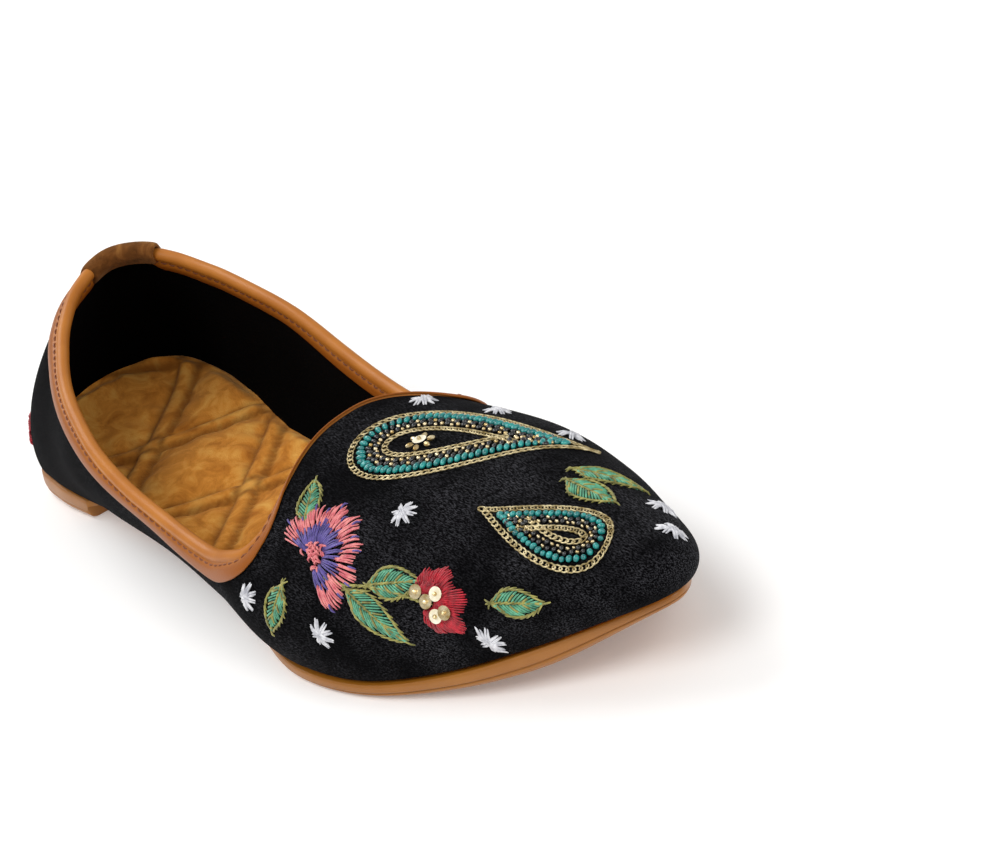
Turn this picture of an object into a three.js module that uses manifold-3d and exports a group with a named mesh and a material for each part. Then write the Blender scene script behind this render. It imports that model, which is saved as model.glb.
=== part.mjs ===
// Embroidered velvet loafer, right shoe: a thin moulded sole, a velvet upper with a slipper vamp,
// a padded footbed, a leather binding folded over the collar and a suede tab at the back.
// Millimetres. Toe along +X, inner side of the foot along +Y, +Z up, standing on z = 0.

import * as THREE from "three";
import { mergeVertices } from "three/addons/utils/BufferGeometryUtils.js";
import Module from "manifold-3d";

// Driving dimensions
const FEATHER_HALF = 124; // half the length of the feather line, where upper and sole meet
const WALL = 1.7; // velvet, backing and lining together
const SEAT = 0.3; // gap left where two curved pieces meet
const FOOTBED_GAP = 1; // round the footbed: the tight curve of the heel narrows it
const SOLE_EDGE = 3; // thickness of the sole at the ball
const TOE_THICKER = 3.2; // how much the velvet's edge rises over the tread towards the toe
const TOE_TAPER = 3.6; // how much of that the tread takes back at the tip
const TAPER_START_X = 94; // where it begins to
const WAIST_THINNER = 1.6; // how much thinner the sole is at the waist
const WAIST_TUCK = 3.6; // how far its edge is tucked under the upper there
const SOLE_LIP = 0.9; // how far the sole stands out past the feather line
const TOE_LIP = -1.6; // the same at the toe, where the velvet overhangs the sole
const TOE_LIP_X = 84; // where the sole's edge begins to draw in
const SOLE_BEVEL = 1.4; // how far the tread is set in from the feather line
const SOLE_ROUND = 0.2; // share of the edge's thickness where its lower round ends
const SOLE_BULGE = 0.45; // share of the edge's thickness where it stands out furthest
const HEEL_RISE = 3.8; // lift of the heel seat over the forefoot
const THINNING_X = -112; // where the heel seat begins to thin towards the waist
const HEEL_BREAST_X = -89; // front face of the heel lift
const WAIST_START_X = -84; // where the waist is at its thinnest
const WAIST_FADE_X = -30; // where it begins to thicken again
const WAIST_END_X = -14; // where the arch comes down to the forefoot
const BALL_X = 10; // where the sole has its full edge again
const SPRING_START_X = 50; // where the toe begins to lift
const TOE_SPRING = 12.7; // height of the tread under the toe
const SPRING_CURVE = 1.9; // 2 would be a parabola
const FOOTBED_FRONT = 4; // padded footbed under the toes
const FOOTBED_HEEL = 5; // padded footbed under the heel
const HEEL_CURL = 12.5; // how far the footbed climbs the back of the heel
const CURL_X = -100; // where it begins to
const BINDING_LEATHER = 0.9; // thickness of the binding leather
const BINDING_OUTSIDE = 5.6; // width of the binding's outer flange
const BINDING_INSIDE = 5.3; // width of its inner flange
const BINDING_ROLL = 1.6; // height of the padded roll above the collar edge
const TAB_SUEDE = 1; // thickness of the heel tab
const TAB_WIDTH = 17; // heel tab, across the heel
const TAB_MIDDLE_Y = 9.5; // its middle, on the collar's highest point
const TAB_ROLL = 3.8; // height of its fold above the collar edge
const TAB_OUTSIDE = 13; // heel tab, down the back
const TAB_INSIDE = 3.2; // heel tab, down the inside
const TAB_REACH = 36; // how far ahead of the heel the tab may reach, well past its end

// One row for each section of the last, heel to toe.
// x: place along the foot; outer, inner: feather line at each side; ridge, crown: top of the section;
// setback: how far the top lies ahead of the feather line; fullness: 2 is an ellipse, more is squarer;
// outerFlare, innerFlare: how far each wall swells outwards halfway up.
const SECTION_COLUMNS = [
  "x", "outer", "inner", "ridge", "crown", "setback", "fullness", "outerFlare", "innerFlare",
];
const SECTIONS = namedRows(SECTION_COLUMNS, [
  [-124, -1.9, -1.9, 13.2, 73.5, 44, 1.17, 4.4, 4.4],
  [-119, -22.1, 19.6, 9.8, 69.7, 41.5, 1.25, 3.2, 3],
  [-105, -26.7, 26.6, 8, 66.8, 40.6, 1.57, 4.5, 2.6],
  [-85, -26.8, 23.5, 4.8, 70.3, 27.3, 1.58, 8.9, 7.7],
  [-55, -26, 16.8, 0, 68.7, 6, 1.97, 13.5, 12.9],
  [-25, -29, 19.4, -3, 71.8, 0, 2.4, 11.8, 7.8],
  [5, -35.1, 25.6, -2, 44.5, 0, 2.6, 7.4, 1.5],
  [32, -42, 32, 0, 39, 0, 2.5, 4.9, 1],
  [55, -39.9, 33.5, 1, 37.5, 0, 2.5, 1.8, 2],
  [78, -30.4, 29, 2, 35, 0, 2.5, 0.9, 2],
  [98, -18.5, 21.5, 3, 32, -1, 2.5, 2.2, 2.2],
  [115, -6.5, 14, 4, 29.5, -3, 2.4, 2.5, 2.5],
  [124, 4, 4, 4, 28.5, -6, 2.3, 2.5, 2.5],
]);

// Side view of the collar edge, from behind the heel, down to the side and up over the throat.
// flange: share of the binding's full width, which narrows over the vamp.
const COLLAR_COLUMNS = ["x", "z", "flange"];
const COLLAR = namedRows(COLLAR_COLUMNS, [
  [-140, 55, 1],
  [-104, 54.8, 1],
  [-80, 47.4, 1],
  [-50, 39.5, 1],
  [-20, 28.7, 1],
  [5, 23.6, 1],
  [17.5, 25.6, 1],
  [24.4, 28.4, 0.9],
  [27.4, 34, 0.75],
  [26, 37.8, 0.5],
  [23, 40.2, 0.32],
  [19.6, 42, 0.32],
  [18.6, 46, 0.32],
  [18.6, 110, 0.32],
]);

// Mesh density
const COLUMNS = 88; // around the foot
const ROWS = 14; // from the feather line up to the ridge
const COLLAR_POINTS = 64; // along the collar edge
const PROFILE_STEP = 4; // along the footbed and the arch

const STEP = 1e-3; // for slopes taken by difference
const SWELL_LOW = 0.85; // below 1 the walls swell lower than halfway up
const CENTRE = new THREE.Vector3(0.63, -5.38, 0); // middle of the whole shoe, set over the origin
const ABOVE_ALL = 110; // clear of every piece
const FAR_SIDE = 120; // half the width of a cutting block

const wasm = await Module();
wasm.setup();

function namedRows(columns, rows) {
  return rows.map((row) => Object.fromEntries(columns.map((column, i) => [column, row[i]])));
}

// Stations run from 0 at the heel to 1 at the toe and crowd together at both round ends
function stationAt(x) {
  return Math.acos(THREE.MathUtils.clamp(-x / FEATHER_HALF, -1, 1)) / Math.PI;
}

function xAt(station) {
  return -FEATHER_HALF * Math.cos(Math.PI * station);
}

// A smooth curve through one column of the section table
function sectionCurve(column) {
  const stations = SECTIONS.map((row) => stationAt(row.x));
  const values = SECTIONS.map((row) => row[column]);
  const last = SECTIONS.length - 1;
  const slopes = values.map((_, i) => {
    const before = Math.max(i - 1, 0);
    const after = Math.min(i + 1, last);
    return (values[after] - values[before]) / (stations[after] - stations[before]);
  });
  return (station) => {
    let i = 0;
    while (i < last - 1 && station > stations[i + 1]) i += 1;
    const span = stations[i + 1] - stations[i];
    const s = (station - stations[i]) / span;
    const s2 = s * s;
    const s3 = s2 * s;
    return (
      values[i] * (2 * s3 - 3 * s2 + 1) +
      values[i + 1] * (3 * s2 - 2 * s3) +
      slopes[i] * span * (s3 - 2 * s2 + s) +
      slopes[i + 1] * span * (s3 - s2)
    );
  };
}

const section = Object.fromEntries(
  SECTION_COLUMNS.slice(1).map((column) => [column, sectionCurve(column)])
);

function toeSpring(x) {
  const along = Math.max(0, (x - SPRING_START_X) / (FEATHER_HALF - SPRING_START_X));
  return TOE_SPRING * along ** SPRING_CURVE;
}

function heelRise(x) {
  return HEEL_RISE * (1 - THREE.MathUtils.smoothstep(x, HEEL_BREAST_X, WAIST_END_X));
}

function pastBall(x) {
  return THREE.MathUtils.smoothstep(x, WAIST_FADE_X, BALL_X);
}

function soleTop(x) {
  const thicker = TOE_THICKER * THREE.MathUtils.smoothstep(x, SPRING_START_X, FEATHER_HALF);
  const waist = THREE.MathUtils.smoothstep(x, THINNING_X, WAIST_START_X) * (1 - pastBall(x));
  return SOLE_EDGE + thicker - WAIST_THINNER * waist + heelRise(x) + toeSpring(x);
}

function soleBottom(x) {
  return toeSpring(x) + TOE_TAPER * THREE.MathUtils.smoothstep(x, TAPER_START_X, FEATHER_HALF);
}

function footbedTop(x) {
  const heel = 1 - THREE.MathUtils.smoothstep(x, HEEL_BREAST_X, WAIST_END_X);
  const curl = HEEL_CURL * (Math.max(0, CURL_X - x) / (FEATHER_HALF + CURL_X)) ** 2;
  return soleTop(x) + THREE.MathUtils.lerp(FOOTBED_FRONT, FOOTBED_HEEL, heel) + curl;
}

// Round the foot: 0 at the heel, 1 at the toe by the outer side, back to 2 by the inner side
function sideAt(turn) {
  const wrapped = ((turn % 2) + 2) % 2;
  const outer = wrapped <= 1;
  return { outer, station: outer ? wrapped : 2 - wrapped };
}

function featherPoint(turn) {
  const { outer, station } = sideAt(turn);
  const x = xAt(station);
  const y = outer ? section.outer(station) : section.inner(station);
  return new THREE.Vector3(x, y, soleTop(x) + SEAT);
}

// Level direction away from the foot
function outward(turn) {
  const ahead = featherPoint(turn + STEP).sub(featherPoint(turn - STEP));
  return new THREE.Vector3(ahead.y, -ahead.x, 0).normalize();
}

// The outside of the upper: rise goes from 0 at the feather line to 1 at the ridge
function lastPoint(turn, rise) {
  const { outer, station } = sideAt(turn);
  const foot = featherPoint(turn);
  const power = 2 / section.fullness(station);
  const angle = (rise * Math.PI) / 2;
  const height = Math.sin(angle) ** power;
  const closing = 1 - Math.max(0, Math.cos(angle)) ** power;
  const top = new THREE.Vector3(
    foot.x + section.setback(station), section.ridge(station), section.crown(station)
  );
  const flare = outer ? section.outerFlare(station) : section.innerFlare(station);
  const swell = flare * Math.sin(Math.PI * height ** SWELL_LOW);
  return new THREE.Vector3(
    THREE.MathUtils.lerp(foot.x, top.x, closing),
    THREE.MathUtils.lerp(foot.y, top.y, closing),
    THREE.MathUtils.lerp(foot.z, top.z, height)
  ).addScaledVector(outward(turn), swell);
}

function lastNormal(turn, rise) {
  const along = lastPoint(turn + STEP, rise).sub(lastPoint(turn - STEP, rise));
  if (rise === 1) {
    const direction = Math.sign(along.x) || 1;
    return new THREE.Vector3(-along.z * direction, 0, Math.abs(along.x)).normalize();
  }
  const low = Math.max(rise - STEP, 0);
  const up = lastPoint(turn, Math.min(rise + STEP, 1)).sub(lastPoint(turn, low));
  return along.cross(up).normalize();
}

// Closed skin from rings of points that run round the foot; the top ring may be the ridge,
// where the two sides share their points
function skin(rings, ridged) {
  const points = rings.flat();
  const triangles = [];
  const twin = (column) => (COLUMNS - column) % COLUMNS;
  const index = (row, column) => {
    const wrapped = column % COLUMNS;
    const shared = ridged && row === rings.length - 1 ? Math.min(wrapped, twin(wrapped)) : wrapped;
    return row * COLUMNS + shared;
  };
  const face = (a, b, c) => {
    if (a !== b && b !== c && c !== a) triangles.push(a, b, c);
  };
  const cap = (row, up) => {
    for (let column = 0; column < COLUMNS / 2; column += 1) {
      const corners = [
        index(row, column), index(row, column + 1),
        index(row, twin(column + 1)), index(row, twin(column)),
      ];
      const [a, b, c, d] = up ? corners : corners.reverse();
      face(a, b, c);
      face(a, c, d);
    }
  };
  for (let row = 0; row < rings.length - 1; row += 1) {
    for (let column = 0; column < COLUMNS; column += 1) {
      const a = index(row, column);
      const b = index(row, column + 1);
      const c = index(row + 1, column + 1);
      const d = index(row + 1, column);
      face(a, b, c);
      face(a, c, d);
    }
  }
  cap(0, false);
  if (!ridged) cap(rings.length - 1, true);
  const geometry = new THREE.BufferGeometry();
  geometry.setAttribute(
    "position", new THREE.Float32BufferAttribute(points.flatMap((point) => point.toArray()), 3)
  );
  geometry.setIndex(triangles);
  return geometry;
}

function ring(pointAt) {
  return Array.from({ length: COLUMNS }, (_, column) => pointAt((2 * column) / COLUMNS));
}

// The last grown or shrunk by an even distance; a skirt carries it straight down past the sole
function lastForm(grow, skirt = 0) {
  const rings = Array.from({ length: ROWS + 1 }, (_, row) => {
    const rise = row / ROWS;
    return ring((turn) => lastPoint(turn, rise).addScaledVector(lastNormal(turn, rise), grow));
  });
  if (skirt > 0) {
    rings.unshift(rings[0].map((point) => point.clone().setZ(point.z - skirt)));
  }
  return solid(skin(rings, true));
}

function solid(geometry) {
  const bare = geometry.clone();
  bare.deleteAttribute("normal");
  bare.deleteAttribute("uv");
  const merged = mergeVertices(bare);
  return new wasm.Manifold(
    new wasm.Mesh({
      numProp: 3,
      vertProperties: Float32Array.from(merged.attributes.position.array),
      triVerts: Uint32Array.from(merged.index.array),
    })
  );
}

// A cut can leave a speck behind, so the largest body is kept
function geometryOf(body) {
  const bodies = body.decompose().sort((a, b) => b.volume() - a.volume());
  const mesh = bodies[0].getMesh();
  const geometry = new THREE.BufferGeometry();
  geometry.setAttribute("position", new THREE.Float32BufferAttribute(mesh.vertProperties, 3));
  geometry.setIndex(Array.from(mesh.triVerts));
  geometry.computeVertexNormals();
  return geometry;
}

// A side-view outline carried right across the shoe
function acrossShoe(outline) {
  const shape = new THREE.Shape(outline);
  const geometry = new THREE.ExtrudeGeometry(shape, { depth: 2 * FAR_SIDE, bevelEnabled: false });
  geometry.rotateX(Math.PI / 2);
  geometry.translate(0, FAR_SIDE, 0);
  return solid(geometry);
}

const collarEdge = new THREE.CatmullRomCurve3(
  COLLAR.map((row) => new THREE.Vector3(row.x, row.z, row.flange)), false, "centripetal"
);

// Everything above the collar edge, with that edge moved down the walls by a distance
function aboveCollar(down, narrowing = false) {
  const outline = [];
  for (let i = 0; i <= COLLAR_POINTS; i += 1) {
    const along = i / COLLAR_POINTS;
    const tangent = collarEdge.getTangent(along);
    const point = collarEdge.getPoint(along);
    const reach = narrowing ? down * point.z : down;
    outline.push(new THREE.Vector2(point.x + reach * tangent.y, point.y - reach * tangent.x));
  }
  outline.push(new THREE.Vector2(COLLAR[0].x, ABOVE_ALL));
  return acrossShoe(outline);
}

function stationsBetween(from, to) {
  const count = Math.ceil((to - from) / PROFILE_STEP);
  return Array.from({ length: count + 1 }, (_, i) => from + ((to - from) * i) / count);
}

// The upper's wall with a clearance round it on every side
function collarWall(clearance) {
  return lastForm(clearance)
    .subtract(lastForm(-WALL - clearance, SOLE_EDGE))
    .subtract(aboveCollar(-clearance));
}

// A strip folded over the collar: thick on each face of the wall, standing proud of its edge
function foldedStrip(gap, thickness, outsideWidth, insideWidth, roll) {
  const shell = lastForm(gap + thickness).subtract(lastForm(-WALL - gap - thickness, SOLE_EDGE));
  const insideExcess = lastForm(-WALL / 2, SOLE_EDGE).subtract(aboveCollar(insideWidth, true));
  return shell
    .intersect(aboveCollar(outsideWidth, true))
    .subtract(aboveCollar(-roll, true))
    .subtract(insideExcess)
    .subtract(collarWall(gap));
}

function makeOutsole() {
  const level = (grow, share) =>
    ring((turn) => {
      const foot = featherPoint(turn);
      const toe = THREE.MathUtils.smoothstep(foot.x, TOE_LIP_X, FEATHER_HALF);
      const pastBreast = THREE.MathUtils.smoothstep(foot.x, HEEL_BREAST_X, WAIST_START_X);
      const drawIn = (TOE_LIP - SOLE_LIP) * toe - WAIST_TUCK * pastBreast * (1 - pastBall(foot.x));
      const point = foot.clone().addScaledVector(outward(turn), grow + drawIn);
      return point.setZ(THREE.MathUtils.lerp(soleBottom(point.x), soleTop(point.x), share));
    });
  const body = solid(
    skin(
      [
        level(-SOLE_BEVEL, 0), level(0, SOLE_ROUND), level(SOLE_LIP, SOLE_BULGE), level(SOLE_LIP / 2, 1),
      ],
      false
    )
  );
  const arch = stationsBetween(HEEL_BREAST_X, WAIST_END_X).map(
    (x) => new THREE.Vector2(x, heelRise(x))
  );
  arch.push(new THREE.Vector2(WAIST_END_X, -SOLE_EDGE));
  arch.push(new THREE.Vector2(HEEL_BREAST_X, -SOLE_EDGE));
  return body.subtract(acrossShoe(arch));
}

function makeUpper() {
  return lastForm(0).subtract(lastForm(-WALL, SOLE_EDGE)).subtract(aboveCollar(0));
}

function makeInsole() {
  const stations = stationsBetween(-FEATHER_HALF, FEATHER_HALF);
  const underside = stations.map((x) => new THREE.Vector2(x, soleTop(x) + SEAT));
  const face = stations.map((x) => new THREE.Vector2(x, footbedTop(x)));
  const slab = acrossShoe([...underside, ...face.reverse()]);
  return lastForm(-WALL - FOOTBED_GAP, SOLE_EDGE).intersect(slab);
}

function makeCollarBinding() {
  return foldedStrip(SEAT, BINDING_LEATHER, BINDING_OUTSIDE, BINDING_INSIDE, BINDING_ROLL);
}

function makeHeelTab() {
  const gap = SEAT + BINDING_LEATHER + SEAT;
  const over = foldedStrip(gap, TAB_SUEDE, TAB_OUTSIDE, TAB_INSIDE, TAB_ROLL);
  const window = new THREE.BoxGeometry(2 * TAB_REACH, TAB_WIDTH, ABOVE_ALL);
  window.translate(-FEATHER_HALF, TAB_MIDDLE_Y, ABOVE_ALL / 2);
  const binding = lastForm(gap)
    .subtract(lastForm(-WALL - gap, SOLE_EDGE))
    .subtract(aboveCollar(-BINDING_ROLL - SEAT));
  return over.subtract(binding).intersect(solid(window));
}

function piece(name, body, color, roughness) {
  const material = new THREE.MeshStandardMaterial({ color, roughness, metalness: 0 });
  const mesh = new THREE.Mesh(geometryOf(body), material);
  mesh.name = name;
  return mesh;
}

const shoe = new THREE.Group();
shoe.position.copy(CENTRE).negate();
shoe.add(
  piece("outsole", makeOutsole(), 0xa9702f, 0.55),
  piece("upper", makeUpper(), 0x0d0d10, 0.9),
  piece("insole", makeInsole(), 0xb67c36, 0.95),
  piece("collar_binding", makeCollarBinding(), 0xc4773a, 0.45),
  piece("heel_tab", makeHeelTab(), 0x8a5a2b, 0.95)
);

export default shoe;
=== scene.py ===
# %% [markdown]
# # An embroidered velvet loafer, right foot
# The real shoe is a slip-on: a black velvet upper pulled over a last, a thin tan rubber sole, a
# quilted suede footbed, a leather binding folded over the collar, a suede tab at the heel, and
# thread and bead work on the vamp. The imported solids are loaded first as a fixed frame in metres.
# Every piece below is worked out in millimetres in that same frame, so nothing is fitted later.

# %% Load the frame
import bisect
import math
import random
from functools import cache
from itertools import accumulate

import bmesh
import bpy
from mathutils import Matrix, Vector
from mathutils.bvhtree import BVHTree


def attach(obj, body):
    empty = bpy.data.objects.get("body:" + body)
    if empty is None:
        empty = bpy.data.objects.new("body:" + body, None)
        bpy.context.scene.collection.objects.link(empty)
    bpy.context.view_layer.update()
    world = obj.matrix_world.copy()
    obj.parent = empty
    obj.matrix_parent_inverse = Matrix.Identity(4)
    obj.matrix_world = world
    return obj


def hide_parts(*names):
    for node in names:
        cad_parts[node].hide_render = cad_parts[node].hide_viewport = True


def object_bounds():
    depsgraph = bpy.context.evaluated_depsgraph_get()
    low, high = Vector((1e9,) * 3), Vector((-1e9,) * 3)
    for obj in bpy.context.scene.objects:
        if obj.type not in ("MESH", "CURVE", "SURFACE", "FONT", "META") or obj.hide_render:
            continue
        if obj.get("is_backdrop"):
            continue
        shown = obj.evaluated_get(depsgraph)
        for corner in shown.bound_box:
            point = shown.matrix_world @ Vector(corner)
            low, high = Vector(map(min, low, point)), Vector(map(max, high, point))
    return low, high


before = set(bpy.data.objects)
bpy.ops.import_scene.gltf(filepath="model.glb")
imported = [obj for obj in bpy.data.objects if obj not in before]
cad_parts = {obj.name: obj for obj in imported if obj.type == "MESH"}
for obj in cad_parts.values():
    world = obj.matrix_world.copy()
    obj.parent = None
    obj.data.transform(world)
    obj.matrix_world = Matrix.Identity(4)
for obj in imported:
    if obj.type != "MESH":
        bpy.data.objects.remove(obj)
CAD_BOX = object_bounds()
MM = 0.001
print("frame nodes:", ", ".join(sorted(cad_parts)))

# %% [markdown]
# ## The last
# A shoe's shape comes from its last, the foot-shaped block that it is pulled over. Here the last
# is a short table with one row for each cross-section from heel to toe: how far the outer and
# inner edges stand from the centre line, where the ridge runs, how high it would be, how far the
# top leans forward, how full the curve of the section is, and how far each side bulges. Values
# between rows follow a smooth curve, so the same few numbers give the velvet, the sole, the
# footbed and the binding.

# %% The last's table, in millimetres
HALF_LENGTH = 124
CENTRE = Vector((0.63, -5.38, 0))
WALL = 1.7
SEAT = 0.3
SECTION_COLUMNS = "outer inner ridge crown setback fullness outer_flare inner_flare".split()
SECTIONS = (
    # x, then the columns named above
    (-124, -1.9, -1.9, 13.2, 73.5, 44, 1.17, 4.4, 4.4),
    (-119, -22.1, 19.6, 9.8, 69.7, 41.5, 1.25, 3.2, 3),
    (-105, -26.7, 26.6, 8, 66.8, 40.6, 1.57, 4.5, 2.6),
    (-85, -26.8, 23.5, 4.8, 70.3, 27.3, 1.58, 8.9, 7.7),
    (-55, -26, 16.8, 0, 68.7, 6, 1.97, 13.5, 12.9),
    (-25, -29, 19.4, -3, 71.8, 0, 2.4, 11.8, 7.8),
    (5, -35.1, 25.6, -2, 44.5, 0, 2.6, 7.4, 1.5),
    (32, -42, 32, 0, 39, 0, 2.5, 4.9, 1),
    (55, -39.9, 33.5, 1, 37.5, 0, 2.5, 1.8, 2),
    (78, -30.4, 29, 2, 35, 0, 2.5, 0.9, 2),
    (98, -18.5, 21.5, 3, 32, -1, 2.5, 2.2, 2.2),
    (115, -6.5, 14, 4, 29.5, -3, 2.4, 2.5, 2.5),
    (124, 4, 4, 4, 28.5, -6, 2.3, 2.5, 2.5),
)


def clamp(value, low, high):
    return max(low, min(high, value))


def station_of(x):
    """Place along the shoe, 0 at the heel and 1 at the toe, rounded like a circle at both ends."""
    return math.acos(clamp(-x / HALF_LENGTH, -1, 1)) / math.pi


def smooth_row(rows, stations, station):
    """A table's row at any station, on a smooth curve through the rows."""
    end = len(rows) - 1
    i = clamp(bisect.bisect_right(stations, station) - 1, 0, end - 1)
    span = stations[i + 1] - stations[i]
    t = (station - stations[i]) / span

    def slope(k, column):
        low, high = max(0, k - 1), min(end, k + 1)
        return (rows[high][column] - rows[low][column]) / (stations[high] - stations[low])

    return [
        (2 * t**3 - 3 * t**2 + 1) * rows[i][c]
        + (t**3 - 2 * t**2 + t) * span * slope(i, c)
        + (3 * t**2 - 2 * t**3) * rows[i + 1][c]
        + (t**3 - t**2) * span * slope(i + 1, c)
        for c in range(len(rows[0]))
    ]


SECTION_STATIONS = [station_of(row[0]) for row in SECTIONS]
SECTION_VALUES = [row[1:] for row in SECTIONS]


def section_at(station):
    return dict(zip(SECTION_COLUMNS, smooth_row(SECTION_VALUES, SECTION_STATIONS, station)))


print("section half way:", {name: round(v, 1) for name, v in section_at(0.5).items()})

# %% [markdown]
# The sole line rises at the toe (toe spring) and at the heel, so the velvet's lower edge, which a
# shoemaker calls the feather line, rises with it. A point of the last is named by its turn round
# the shoe, from 0 at the heel along the outer side to 1 at the toe and back along the inner side
# to 2, and by its rise, from 0 at the feather line to 1 on the ridge.

# %% Points and normals of the last
SOLE_EDGE = 3.0
TOE_THICKER = 3.2
HEEL_RISE = 3.8
HEEL_BREAST_X = -89
THINNING_X, WAIST_START_X, WAIST_FADE_X, WAIST_END_X, BALL_X = -112, -84, -30, -14, 10
WAIST_THINNER = 1.6
SPRING_START_X, TOE_SPRING, SPRING_CURVE = 50, 12.7, 1.9
TOE_TAPER, TAPER_START_X = 3.6, 94
SWELL_LOW = 0.85
STEP = 1e-3


def mix(a, b, t):
    return a + (b - a) * t


def smoothstep(x, low, high):
    t = clamp((x - low) / (high - low), 0, 1)
    return t * t * (3 - 2 * t)


def toe_spring(x):
    past = max(0, (x - SPRING_START_X) / (HALF_LENGTH - SPRING_START_X))
    return TOE_SPRING * past**SPRING_CURVE


def heel_rise(x):
    return HEEL_RISE * (1 - smoothstep(x, HEEL_BREAST_X, WAIST_END_X))


def waist_share(x, start_x):
    """1 under the waist, where the sole is thin and tucked in, and 0 at the heel and the ball."""
    return smoothstep(x, start_x, WAIST_START_X) * (1 - smoothstep(x, WAIST_FADE_X, BALL_X))


def sole_top(x):
    thicker = TOE_THICKER * smoothstep(x, SPRING_START_X, HALF_LENGTH)
    thinner = WAIST_THINNER * waist_share(x, THINNING_X)
    return SOLE_EDGE + thicker - thinner + heel_rise(x) + toe_spring(x)


def sole_bottom(x):
    return toe_spring(x) + TOE_TAPER * smoothstep(x, TAPER_START_X, HALF_LENGTH)


def feather(turn):
    """The feather line's point, its section's row, and whether it is on the outer side."""
    turn = turn % 2
    station = turn if turn <= 1 else 2 - turn
    row = section_at(station)
    x = -HALF_LENGTH * math.cos(math.pi * station)
    y = row["outer" if turn <= 1 else "inner"]
    return Vector((x, y, sole_top(x) + SEAT)), row, turn <= 1


def outward_at(turn):
    """The level direction out of the shoe."""
    run = feather(turn + STEP)[0] - feather(turn - STEP)[0]
    return Vector((run.y, -run.x, 0)).normalized()


def last_point(turn, rise):
    foot, row, outer_side = feather(turn)
    power = 2 / row["fullness"]
    angle = clamp(rise, 0, 1) * math.pi / 2
    height = math.sin(angle) ** power
    closing = 1 - max(0, math.cos(angle)) ** power
    top = Vector((foot.x + row["setback"], row["ridge"], row["crown"]))
    x, y = mix(foot.x, top.x, closing), mix(foot.y, top.y, closing)
    flare = row["outer_flare" if outer_side else "inner_flare"]
    bulge = outward_at(turn) * (flare * math.sin(math.pi * height**SWELL_LOW))
    return Vector((x, y, mix(foot.z, top.z, height))) + bulge - CENTRE


def last_normal(turn, rise):
    rise = clamp(rise, 3 * STEP, 1 - 3 * STEP)
    along = last_point(turn + STEP, rise) - last_point(turn - STEP, rise)
    upward = last_point(turn, rise + STEP) - last_point(turn, rise - STEP)
    return along.cross(upward).normalized()


print("tip of the toe:", last_point(1, 0))

# %% [markdown]
# ## Camera
# The photograph looks down on the toe from the outer side with the camera rolled. The angles and
# the lens were found by matching the outlines of the collar, the sole and the toe. The camera is
# turned off its target rather than shifted, so it behaves the same in other views.

# %% Camera
AZIMUTH, ELEVATION, ROLL = math.radians(66.1), math.radians(26.5), math.radians(-22.5)
DISTANCE = 775 * MM
IMAGE_WIDTH = 1000
FOCAL_PIXELS = 3344
SENSOR = 36
AIM_LEFT, AIM_UP = 132 / FOCAL_PIXELS, 113 / FOCAL_PIXELS

scene = bpy.context.scene
level = math.cos(ELEVATION)
back = Vector((math.sin(AZIMUTH) * level, -math.cos(AZIMUTH) * level, math.sin(ELEVATION)))
right = Matrix.Rotation(ROLL, 3, back) @ Vector((math.cos(AZIMUTH), math.sin(AZIMUTH), 0))
up = back.cross(right)
view = (-back + AIM_LEFT * right + AIM_UP * up).normalized()
side = view.cross(up).normalized()
facing = Matrix((side, side.cross(view), -view)).transposed()
camera = bpy.data.objects.new("camera", bpy.data.cameras.new("camera"))
scene.collection.objects.link(camera)
camera.data.sensor_width = SENSOR
camera.data.sensor_fit = "HORIZONTAL"
camera.data.lens = SENSOR * FOCAL_PIXELS / IMAGE_WIDTH
camera.matrix_world = Matrix.Translation(-CENTRE * MM + back * DISTANCE) @ facing.to_4x4()
scene.camera = camera
print("camera at", [round(v, 3) for v in camera.location], "lens", round(camera.data.lens, 1))

# %% [markdown]
# ## Colours, nodes and objects
# A shader works in linear light, while a colour picked from a picture is sRGB, so one function
# turns the hex values round. The other helpers add a node with its links, start a material from
# Blender's Principled shader, and turn a finished bmesh into an object at the origin.

# %% Helpers for colours, nodes and objects
def linear(hex_colour):
    """sRGB hex to the linear colour that shaders take."""
    parts = [int(hex_colour[i : i + 2], 16) / 255 for i in (1, 3, 5)]
    return [p / 12.92 if p <= 0.04045 else ((p + 0.055) / 1.055) ** 2.4 for p in parts] + [1]


def wire(tree, node, inputs):
    """Gives a node's inputs their values, or links from other nodes' outputs."""
    for name, value in inputs.items():
        if isinstance(value, bpy.types.NodeSocket):
            tree.links.new(value, node.inputs[name])
        else:
            node.inputs[name].default_value = value


def add_node(tree, kind, inputs=None, output=0, **settings):
    """Adds a shader node with its settings and inputs, and returns the output that is used."""
    made = tree.nodes.new("ShaderNode" + kind)
    for name, value in settings.items():
        setattr(made, name, value)
    wire(tree, made, inputs or {})
    return made.outputs[output]


def new_material(name, **shader_values):
    """A material with its Principled shader, whose even values are set on its own sockets."""
    material = bpy.data.materials.new(name)
    material.use_nodes = True
    shader = material.node_tree.nodes["Principled BSDF"]
    for socket, value in shader_values.items():
        label = socket.replace("_", " ").title().replace("Ior", "IOR")
        shader.inputs[label].default_value = value
    return material, material.node_tree, shader


def new_piece(name, bm, *materials, smooth=True):
    """Turns a bmesh in millimetres into an object in metres, at the origin."""
    bmesh.ops.scale(bm, vec=(MM, MM, MM), verts=bm.verts)
    mesh = bpy.data.meshes.new(name)
    bm.to_mesh(mesh)
    bm.free()
    mesh.polygons.foreach_set("use_smooth", [smooth] * len(mesh.polygons))
    for material in materials:
        mesh.materials.append(material)
    piece = bpy.data.objects.new(name, mesh)
    scene.collection.objects.link(piece)
    print(name, "faces", len(mesh.polygons))
    return piece


print("mid grey in linear light:", round(linear("#808080")[0], 3))

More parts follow.
